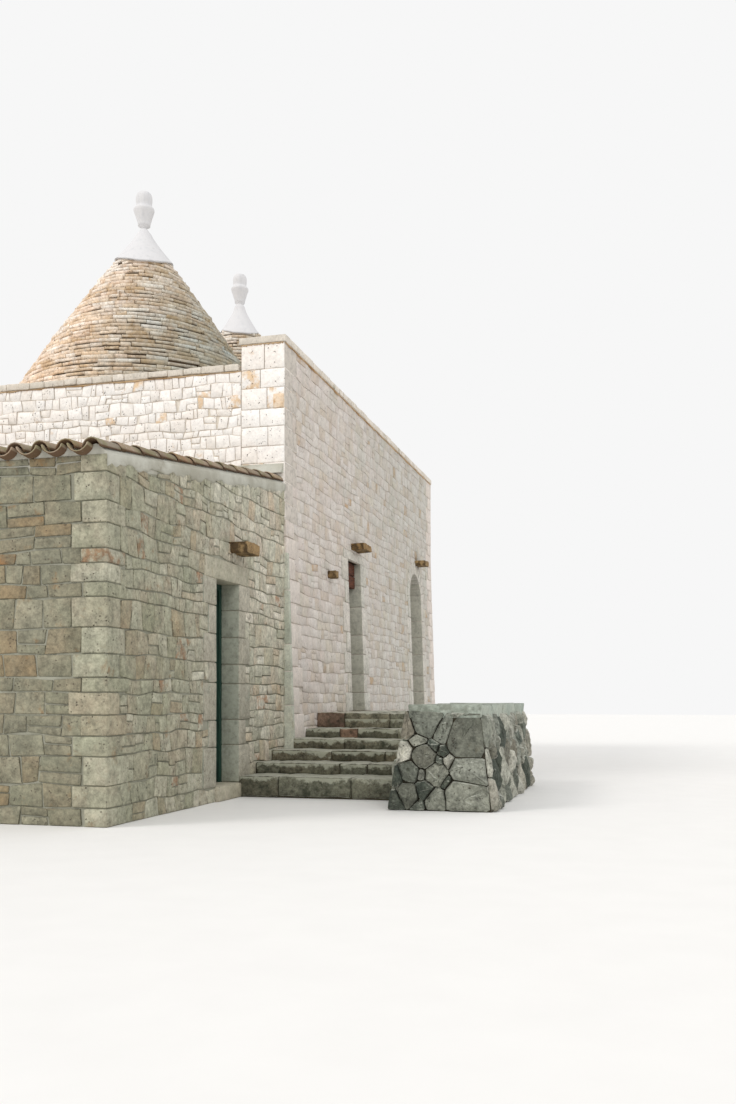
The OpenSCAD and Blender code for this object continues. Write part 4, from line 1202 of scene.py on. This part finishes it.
lip = 0.03
copings = (coping(-facade_t - lip, lip, -lip, block_l + lip, facade_h)
           + coping(-block_w - lip, -facade_t - lip, -lip, wall_t, wall_h)
           + coping(-block_w - lip, -facade_t - lip, block_l - wall_t, block_l + lip, wall_h)
           + coping(-block_w - lip, wall_t - block_w + lip, wall_t, block_l - wall_t, wall_h))
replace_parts(lay("coping_slabs", coping_stone, copings,
                (0.011, 0.007, 0.006, 0.004), (5, 4, 4), seed=73),
            "facade_coping", "end_copings", "left_coping")
# The bedding under the copings is brown to stand for the dark line under their lips: painted
# shadow
bedding = mortar_finish("bedding lime coloured as painted shadow", "C9AD8A", "A07C52", "6B5238", 0.7)
meshed("coping_bedding", bedding, [
    mortar_strip(((x0, y0, z), (x1, y1, z), out), (0.021, 0.016), seed=74, amount=0.004)
    for x0, y0, x1, y1, z, out in (
        (-facade_t, 0.0, 0.0, 0.0, facade_h, (0, -1)), (0.0, 0.0, 0.0, block_l, facade_h, (1, 0)),
        (0.0, block_l, -facade_t, block_l, facade_h, (0, 1)),
        (-block_w, 0.0, -facade_t, 0.0, wall_h, (0, -1)),
        (-facade_t, block_l, -block_w, block_l, wall_h, (0, 1)),
        (-block_w, block_l, -block_w, 0.0, wall_h, (-1, 0)))])

cone_1, cone_2 = (-3.24, 2.80), (-3.00, 6.0)
cone_1_r, cone_2_r = 2.23, 1.77
paving = []
y = wall_t
while y < block_l - wall_t - 0.1:
    deep = min(dice.uniform(0.34, 0.52), block_l - wall_t - y)
    x = wall_t - block_w
    while x < -facade_t - 0.08:
        wide = min(dice.uniform(0.35, 0.7), -facade_t - x)
        middle = (x + wide / 2, y + deep / 2)
        if all(math.dist(middle, c) > r - 0.3 for c, r in ((cone_1, cone_1_r),
                                                           (cone_2, cone_2_r))):
            paving.append(((*middle, terrace_z - 0.006 + dice.uniform(0.0, 0.004)),
                           (wide - 0.012, deep - 0.012, 0.034),
                           jitter(dice, 0.004, 0.004, 0.01)))
        x += wide
    y += deep
lay("terrace_slabs", coping_stone, paving, (0.008, 0.003, 0.004, 0.004),
    (5, 5, 2), seed=75)
dress(pale_mortar, "terrace_roof")

# Cones
# Thin limestone slabs laid dry in rings, each ring a few centimetres in from the one below and
# tilted outward to shed the rain, weathered beige and ochre, greyer on the +x side, partly from
# weathering and partly painted shade.
cone_middle_x = placed(-3.1, 0, 0)[0]
# The shade greys and cools the slabs towards +x: partly weathering, partly painted shade
cone_stone = stone_finish(
    "dry-laid cone slab", ["D9BC9C", "F6E8DA", "D2B08A", "FAF1E8"],
    ["F4E2D0", "E0C7AB", "FBF1E6", "D3B694", "ECD1B4", "F8E8DA", "DBC0A2", "FDF6EE", "E6C9AC",
     "F0D9C8", "C8AB88"], 0.7, "C08F60", 0.45, "7C654A", 0.35, 1.2, contrast=1.9,
    line_from=0.9, spots=6.0,
    shade=("X", cone_middle_x - 1.0, cone_middle_x + 1.7, "B6C4C6"))
dark_bed = mortar_finish("shaded packing", "5C4C3A", "403528", "2E261D", 0.5)
courses, cone_h, bulge = 42, 2.87, 0.07
apart = math.dist(cone_1, cone_2)
valley = (apart ** 2 + cone_1_r ** 2 - cone_2_r ** 2) / (2 * apart)
dice = random.Random(83)


def cone_r(share, foot_r, top_r):
    """Radius of a cone at a share of its height: a straight side that swells a little"""
    return foot_r + (top_r - foot_r) * share + bulge * 4 * share * (1 - share)


def cone_slabs(middle, foot_r, top_r, towards, reach):
    """Rings of slabs, left out where the other cone stands"""
    blocks, thick, depth = [], cone_h / courses, 0.15
    for k in range(courses):
        r = cone_r(k / (courses - 1), foot_r, top_r)
        z = terrace_z + (k + 0.5) * thick
        a = dice.uniform(0, 1)
        end = a + 2 * math.pi
        course_out = dice.uniform(0.0, 0.016) * (k < courses - 3)
        while a < end - 0.02:
            long_side = dice.uniform(0.10, 0.5) * (0.62 + 0.38 * r / foot_r)
            step = min(long_side / r, end - a)
            if end - a - step < 0.06 / r:
                step = end - a
            mid = a + step / 2
            a += step
            x, y = math.cos(mid), math.sin(mid)
            if r * x * towards[0] + r * y * towards[1] > reach + 0.03:
                continue
            proud = 0.002 + course_out + dice.uniform(0.0, 0.018)
            rc = r + (proud - depth) / 2
            gap = dice.uniform(0.006, 0.030)
            blocks.append(((middle[0] + rc * x, middle[1] + rc * y,
                            z + (gap - 0.018) * 0.4 + dice.uniform(-0.003, 0.003)),
                           (step * r + 0.002, depth + proud, thick - gap),
                           (dice.uniform(-0.09, -0.02), dice.uniform(-0.016, 0.016),
                            mid - math.pi / 2 + dice.uniform(-0.02, 0.02))))
    return blocks


first_top_r, second_top_r = 0.40, 0.35
to_second = ((cone_2[0] - cone_1[0]) / apart, (cone_2[1] - cone_1[1]) / apart)
for name, middle, foot_r, top_r, towards, reach, seed in (
        ("cone_1_slabs", cone_1, cone_1_r, first_top_r, to_second, valley, 85),
        ("cone_2_slabs", cone_2, cone_2_r, second_top_r, (-to_second[0], -to_second[1]),
         apart - valley, 87)):
    lay(name, cone_stone, cone_slabs(middle, foot_r, top_r, towards, reach),
        (0.007, 0.008, 0.010, 0.006), (4, 2, 3), seed=seed)
dress(dark_bed, "cone_1_left", "cone_1_right", "cone_2_left", "cone_2_right")

# Caps and pinnacles
# Each cone ends in a hand-smoothed cap of white lime plaster over stone, drawn up into a neck,
# a collar and a blunt knob, whitewashed again and again.
plaster, place = new_material("white lime plaster")
hand = noise(place, 6.0, 3.0, 0.5)
grit = noise(place, 60.0, 3.0, 0.6)
rain = noise(place * (14.0, 14.0, 1.6), 1.0, 4.0, 0.6)
colour = tinted(band(rain, 0.5, 0.75) * 0.4, paint("DBDADB"), paint("BFC1C5"))
colour = tinted(band(noise(place, 9.0, 5.0, 0.7), 0.6, 0.74) * 0.4, colour, paint("B0AFAC"))
finished(colour * (grit * 0.08 + 0.95), grit * 0.15 + 0.7, hand * 0.8 + grit * 0.2, 0.006)

neck_z, neck_r, bend_z, bend_soft = terrace_z + cone_h + 0.54, 0.078, 8.0, 0.0024
rings, turns, hang = 22, 40, 0.17
# Radii and heights of the pinnacle over the neck: a flared collar, then the knob
pin_line = [(0.090, 0.03), (0.093, 0.06), (0.101, 0.095), (0.112, 0.13), (0.124, 0.17),
            (0.136, 0.205), (0.146, 0.235), (0.153, 0.258), (0.154, 0.276), (0.147, 0.293),
            (0.131, 0.308), (0.118, 0.322), (0.113, 0.338), (0.116, 0.36), (0.121, 0.40),
            (0.122, 0.44), (0.118, 0.475), (0.106, 0.508), (0.083, 0.532), (0.05, 0.546),
            (0.012, 0.55)]


def plaster_r(z, slope):
    """A straight slope that hollows into the neck"""
    down = (bend_z - z) / 2
    return neck_r + slope * (down + math.sqrt(down ** 2 + bend_soft))


dice = random.Random(91)
for name, middle, foot_r, top_r, slope, foot_z in (
        ("1", cone_1, cone_1_r, first_top_r, 0.82, 7.40),
        ("2", cone_2, cone_2_r, second_top_r, 0.645, 7.44)):
    points, faces = lathed([(1.0, 0.0)] * (rings + 2) + [
        (r, neck_z + z) for r, z in pin_line], middle, turns)
    lumps = [dice.uniform(0, 6.28) for k in range(4)]
    cx, cy, _ = placed(*middle, 0.0)
    uneven = []
    for i, (x, y, z) in enumerate(points):
        a, ring = 2 * math.pi * (i % turns) / turns, i // turns
        r = math.dist((x, y), (cx, cy))
        if ring < rings + 2:
            # the plaster's foot hangs lower in front and behind than at the sides
            foot = foot_z + hang * math.sin(a + 1.09) ** 2 + 0.008 * math.sin(
                4 * a + lumps[3]) * math.sin(7 * a)
            z = foot + (neck_z - foot) * max(0, ring - 1) / rings
            share = (z - terrace_z) / cone_h
            stones = cone_r(share, foot_r, top_r)
            r = min(plaster_r(z, slope), stones + 0.042)
            if share < 1:
                r = max(r, stones + 0.028)
            r -= 0.06 * (ring == 0)
        r *= 1 + 0.012 * math.sin(2 * a + lumps[0] + 3 * z) + 0.009 * math.sin(
            3 * a + lumps[1] - 5 * z) + 0.006 * math.sin(5 * a + lumps[2] + 17 * z)
        uneven.append((cx + r * math.cos(a), cy + r * math.sin(a), z))
    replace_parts(meshed(f"plaster_top_{name}", plaster, [(uneven, faces)]),
                f"cap_{name}", f"pinnacle_{name}")

# Steps
# Each step is three to five rough blocks across, painted pale on its top and along its top edge
# as light, with moss and rust-brown lichen on the risers. The landing is paved with slabs on a
# rubble base.
steps_n, tread, riser, steps_foot, steps_at = 5, 0.466, 0.111, 0.10, 1.38
steps_x1, landing_y1 = 1.92, 3.38
landing_y0 = -steps_at + steps_n * tread
# Tops turned up are painted paler and a pale band runs along the top of each riser: painted light
step_stone = stone_finish(
    "step stone with painted light on edges and tops", ["5B5D50", "727262", "524F43"],
    ["616455", "7F7E6D", "4C4F43", "716652", "898775", "574E3A"], 0.8, "3A3024", 0.7,
    "2A281F", 0.8, 1.0, moss="33372B", moss_share=0.7, contrast=3.0, depth=0.018,
    facing=((0, 0, 1), "BDBDAE", 0.75), spots=8.0, lips=(steps_foot, riser, "B3B4A2"))
# Tops turned up are painted paler: painted light
rust_stone = stone_finish(
    "rust-stained step stone", ["6F5648", "8F7B68", "5A483E"], ["7D5F4E", "94806A", "5E4A40"],
    0.6, "A39A88", 0.6, "3A2F26", 0.8, 1.0, moss="3B3A2E", moss_share=0.7, contrast=2.8,
    depth=0.018, facing=((0, 0, 1), "B9B7A6", 0.75), spots=10.0)
# The core of the steps shows only in the gaps between blocks: its dark colour is moss and painted
# shade
mossy_gap_shade = mortar_finish("mossy core dark as painted shade in the gaps", "575243", "413C30", "2F2A21", 0.6)

dice = random.Random(97)
top_shares, step_blocks, rusty = [0.44, 0.22, 0.5, 0.7], [], []
for i in range(1, steps_n + 1):
    top, y0 = steps_foot + i * riser, -steps_at + (i - 1) * tread
    low = max(0.0, top - riser - 0.006) if i > 1 else 0.016
    x0, x1 = 0.016 if y0 < 0 else foot_push(top) + 0.010, steps_x1 + 0.02
    count = dice.choice((3, 4, 5))
    shares = [dice.uniform(0.4, 1.8) for k in range(count)] if i < steps_n else top_shares
    at = x0
    for k, share in enumerate(shares):
        after = at + share * (x1 - x0) / sum(shares)
        out = 0.014 + dice.uniform(0.0, 0.026)
        (rusty if (i, k) == (steps_n, 1) else step_blocks).append((
            ((at + after) / 2, y0 + tread / 2 + 0.02 - out / 2,
             (low + top) / 2 + 0.004 + dice.uniform(-0.002, 0.004)),
            (after - at - 0.005, tread + 0.04 + out, top - low + 0.008),
            jitter(dice, 0.006, 0.008, 0.008)))
        at = after
lay("step_blocks", step_stone, step_blocks, (0.016, 0.016, 0.014, 0.0),
    (10, 4, 5), seed=99)

landing_slabs, least_slab, first_slab, edge_out = [], 0.2, 0.36, 0.014
y = landing_y0
while y < landing_y1 - 0.05:
    deep = min(dice.uniform(0.42, 0.62), landing_y1 - y)
    if landing_y1 - y - deep < least_slab:
        deep = landing_y1 - y
    edge_row = y == landing_y0
    x = foot_push(floor_z) + 0.012
    while x < steps_x1 - 0.05:
        first = edge_row and x < 0.3
        wide = first_slab if first else min(dice.uniform(0.32, 0.75), steps_x1 - x)
        if steps_x1 - x - wide < least_slab:
            wide = steps_x1 - x
        (rusty if first else landing_slabs).append((
            (x + wide / 2, y + deep / 2 - (edge_out if edge_row else 0.0),
             floor_z - 0.086 + dice.uniform(-0.002, 0.004)),
            (wide - 0.006, deep + (edge_out if edge_row else -0.006), 0.186),
            jitter(dice, 0.004, 0.004, 0.006)))
        x += wide
    y += deep
landing_cut = (0.016, 0.014, 0.010, 0.0)
lay("landing_slabs", step_stone, landing_slabs, landing_cut, (9, 4, 5), seed=101)
lay("rusty_step_stones", rust_stone, rusty, landing_cut, (9, 4, 5), seed=102)

# Tops turned up are painted paler: painted light
cheek_stone = stone_finish(
    "grey cheek rubble", ["5F655A", "7D8072", "6B6F62"],
    ["6C7167", "9D9D90", "4D544B", "B5B4A7", "5B625A", "7C776A", "C4C2B5", "444A42"], 1.2,
    "5E5644", 0.3, "3A3A30", 0.5, 1.0, moss="43473A", moss_share=0.3, contrast=3.0,
    depth=0.022, facing=((0, 0, 1), "BFC1B5", 0.8), spots=8.0)
# The core behind the dry wall's stones is painted dark: painted shadow in the gaps
gap_shadow = mortar_finish("painted shadow in the gaps of the dry wall", "413C30", "2F2B22", "211D16", 0.6)
base_beds = course_levels(dice, [0.0, floor_z - 0.18], (0.13, 0.22))
base_blocks = []
for face, length in ((Face((steps_x1, landing_y0), (0, 1), (1, 0)), landing_y1 - landing_y0),
                     (Face((batter, landing_y1), (1, 0), (0, 1)), steps_x1 - batter)):
    base_blocks += coursed(dice, face, base_beds, (0.0, length), (0.16, 0.34), (0.014, 0.034),
                           depth=0.1, slack=0.01, joint=0.012, unrest=0.02)
lay("landing_rubble", cheek_stone, base_blocks, (0.022, 0.010, 0.014, 0.004),
    seed=103)
dress(mossy_gap_shade, *(f"step_{i}" for i in range(1, steps_n + 1)), "step_landing")
dress(gap_shadow, "stair_cheek")

# Cheek wall
# A dry-stone wall beside the steps: field stones of all sizes fitted by hand, the biggest at the
# outer corner, with the shade of their gaps painted dark on the core behind them; the wall leans
# in on every side and is closed by long flat slabs.
cheek_x0, cheek_x1, cheek_y0, cheek_y1 = steps_x1, steps_x1 + 0.84, -steps_at - 0.85, landing_y0
cheek_top, cheek_lean, foot_bulge = 0.88, 0.10, 0.11


def fitted(seeds, outline):
    """Shares an outline out between round seeds of different size: one convex cell for each"""
    cells = []
    for i, (u, v, r) in enumerate(seeds):
        cell = list(outline)
        for j, (a, b, other) in enumerate(seeds):
            if i == j or math.dist((u, v), (a, b)) > 1.2:
                continue
            nx, ny = a - u, b - v
            limit = (a * a + b * b - other ** 2 - u * u - v * v + r ** 2) / 2
            cut = []
            for p, q in zip(cell, cell[1:] + cell[:1]):
                dp, dq = limit - p[0] * nx - p[1] * ny, limit - q[0] * nx - q[1] * ny
                if dp >= 0:
                    cut.append(p)
                if dp * dq < 0:
                    t = dp / (dp - dq)
                    cut.append((p[0] + (q[0] - p[0]) * t, p[1] + (q[1] - p[1]) * t))
            cell = cut
        if len(cell) > 2:
            cells.append(cell)
    return cells


def boulder(cell, spot, dice):
    """A stone on a cell: broken corners, a rough front cut by three tilted planes, a flat
    closed back"""
    cut, gap, depth = dice.uniform(0.05, 0.17), 0.001, 0.12
    cell = [(p[0] * s + q[0] * (1 - s), p[1] * s + q[1] * (1 - s))
            for p, q in zip(cell, cell[1:] + cell[:1]) for s in (1 - cut, 0.52, cut)]
    n = len(cell)
    mu, mv = sum(p[0] for p in cell) / n, sum(p[1] for p in cell) / n
    reach = sum(math.dist(p, (mu, mv)) for p in cell) / n
    cell = [(mu + (u - mu) * s, mv + (v - mv) * s) for u, v in cell
            for s in [max(0.5, 1 - (gap + dice.uniform(0.0, 0.010)) / reach)]]
    tip = [dice.uniform(-0.4, 0.4) * reach for k in range(2)]
    start, high = dice.uniform(0.012, 0.035), dice.uniform(0.018, 0.050)
    facets = [(dice.uniform(-0.45, 0.45), dice.uniform(-0.45, 0.45),
               dice.uniform(0.7, 1.3) * high) for k in range(3)]

    def cut_front(u, v):
        return min(start + c + a * u + b * v for a, b, c in facets)

    points = []
    outline = ((1.0, -depth), (1.0, start * 0.5), (0.93, start + high * 0.5),
               (0.68, start + high * 1.1), (0.34, start + high * 1.2))
    for share, out in outline:
        for u, v in cell:
            du = (u - mu) * share + tip[0] * (1 - share)
            dv = (v - mv) * share + tip[1] * (1 - share)
            w = out if share == 1 else max(
                0.006, dice.uniform(-0.009, 0.009) + min(out, cut_front(du, dv)))
            points.append(spot(mu + du, mv + dv, w))
    points.append(spot(mu + tip[0], mv + tip[1], max(0.008, cut_front(*tip))))
    faces = [tuple(range(n))[::-1]]
    for ring in range(len(outline) - 1):
        for k in range(n):
            a, b = ring * n + k, ring * n + (k + 1) % n
            faces.append((a, b, b + n, a + n))
    last = (len(outline) - 1) * n
    faces += [(last + k, last + (k + 1) % n, len(points) - 1) for k in range(n)]
    return points, faces


def toned(piece, counts, seed):
    """Gives each stone of a plain mesh its own tone"""
    dice = random.Random(seed)
    tone = piece.data.attributes.new("tone", "FLOAT", "POINT")
    tone.data.foreach_set("value", [t for n in counts for t in [dice.random()] * n])


dice = random.Random(107)
front_seeds = [
    (0.26, 0.83, 0.17), (0.42, 0.74, 0.14), (0.66, 0.66, 0.24), (0.18, 0.64, 0.07),
    (0.33, 0.59, 0.06), (0.42, 0.55, 0.07), (0.23, 0.49, 0.12), (0.36, 0.44, 0.06),
    (0.48, 0.46, 0.08), (0.66, 0.37, 0.20), (0.10, 0.35, 0.10), (0.21, 0.33, 0.07),
    (0.34, 0.33, 0.12), (0.44, 0.26, 0.08), (0.24, 0.19, 0.10), (0.09, 0.15, 0.11),
    (0.17, 0.07, 0.06), (0.35, 0.10, 0.12), (0.62, 0.12, 0.22), (0.80, 0.16, 0.08),
    (0.04, 0.53, 0.08), (0.08, 0.76, 0.10), (0.58, 0.84, 0.10), (0.78, 0.84, 0.08),
    (-0.04, 0.30, 0.07), (-0.05, 0.08, 0.09)]


def scattered(dice, width, tall):
    """Seeds of stones of all sizes over a face, the big ones first"""
    seeds = []
    for r in (0.17, 0.13, 0.09, 0.065):
        for k in range(900):
            spot = (dice.uniform(0.05, width - 0.05), dice.uniform(0.04, tall - 0.04))
            if all(math.dist(spot, s[:2]) > (r + s[2]) * 0.92 for s in seeds):
                seeds.append((*spot, r))
    return seeds


cheek_parts = []
cheek_w, cheek_l = cheek_x1 - cheek_x0, cheek_y1 - cheek_y0
for start, along, out, wide, seeds in (
        ((cheek_x0, cheek_y0), (1, 0), (0, -1), cheek_w, front_seeds),
        ((cheek_x1, cheek_y0), (0, 1), (1, 0), cheek_l, None),
        ((cheek_x1, cheek_y1), (-1, 0), (0, 1), cheek_w, None),
        ((cheek_x0, cheek_y1), (0, -1), (-1, 0), cheek_l, None)):
    across, by_steps = abs(out[1]) == 1, out[0] == -1
    seeds = seeds or scattered(dice, wide, cheek_top)
    if out[1] == -1:
        outline = [(-foot_bulge, 0.0), (wide, 0.0), (wide - cheek_lean, cheek_top),
                   (cheek_lean - 0.05, cheek_top + 0.03)]
    elif across:
        outline = [(0.0, 0.0), (wide, 0.0), (wide - cheek_lean, cheek_top),
                   (cheek_lean, cheek_top)]
    else:
        outline = [(0.0, 0.0), (wide, 0.0), (wide, cheek_top), (0.0, cheek_top)]

    def spot(u, v, w):
        lean = 0.0 if across else cheek_lean * v / cheek_top
        if by_steps:
            lean -= foot_bulge * max(0.0, 1 - v / cheek_top) * max(0.0, 1 - (wide - u) / 0.8)
        return placed(start[0] + along[0] * u + out[0] * (w - lean),
                      start[1] + along[1] * u + out[1] * (w - lean), max(0.002, v))

    for cell in fitted(seeds, outline):
        cheek_parts.append(boulder(cell, spot, dice))
cheek_rubble = meshed("cheek_rubble", cheek_stone, cheek_parts, smooth=False)
toned(cheek_rubble, [len(points) for points, faces in cheek_parts], 109)

pale_slab = stone_finish(
    "pale bench slab", ["9DA89D", "AFB6AA", "A3A99D"], ["A1AB9F", "B3B8AC", "959F94", "A9AEA2"],
    0.5, "827F6B", 0.4, "5F6155", 0.5, 0.5, moss="8A907B", moss_share=0.25, contrast=1.2,
    depth=0.012)
bench = coping(cheek_x0 + cheek_lean - 0.03, cheek_x1 - cheek_lean + 0.02, cheek_y0 - 0.015,
               cheek_y1, cheek_top - 0.055, 0.145, (0.6, 0.95))
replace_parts(lay("cheek_slabs", pale_slab, bench, (0.018, 0.016, 0.020, 0.0),
                (12, 2, 6), seed=111), "stair_cheek_slab")

# Size of the looks beside the size of the frame
low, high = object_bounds()
{"cad": [list(cad_low), list(cad_high)], "looks": [list(low), list(high)]}
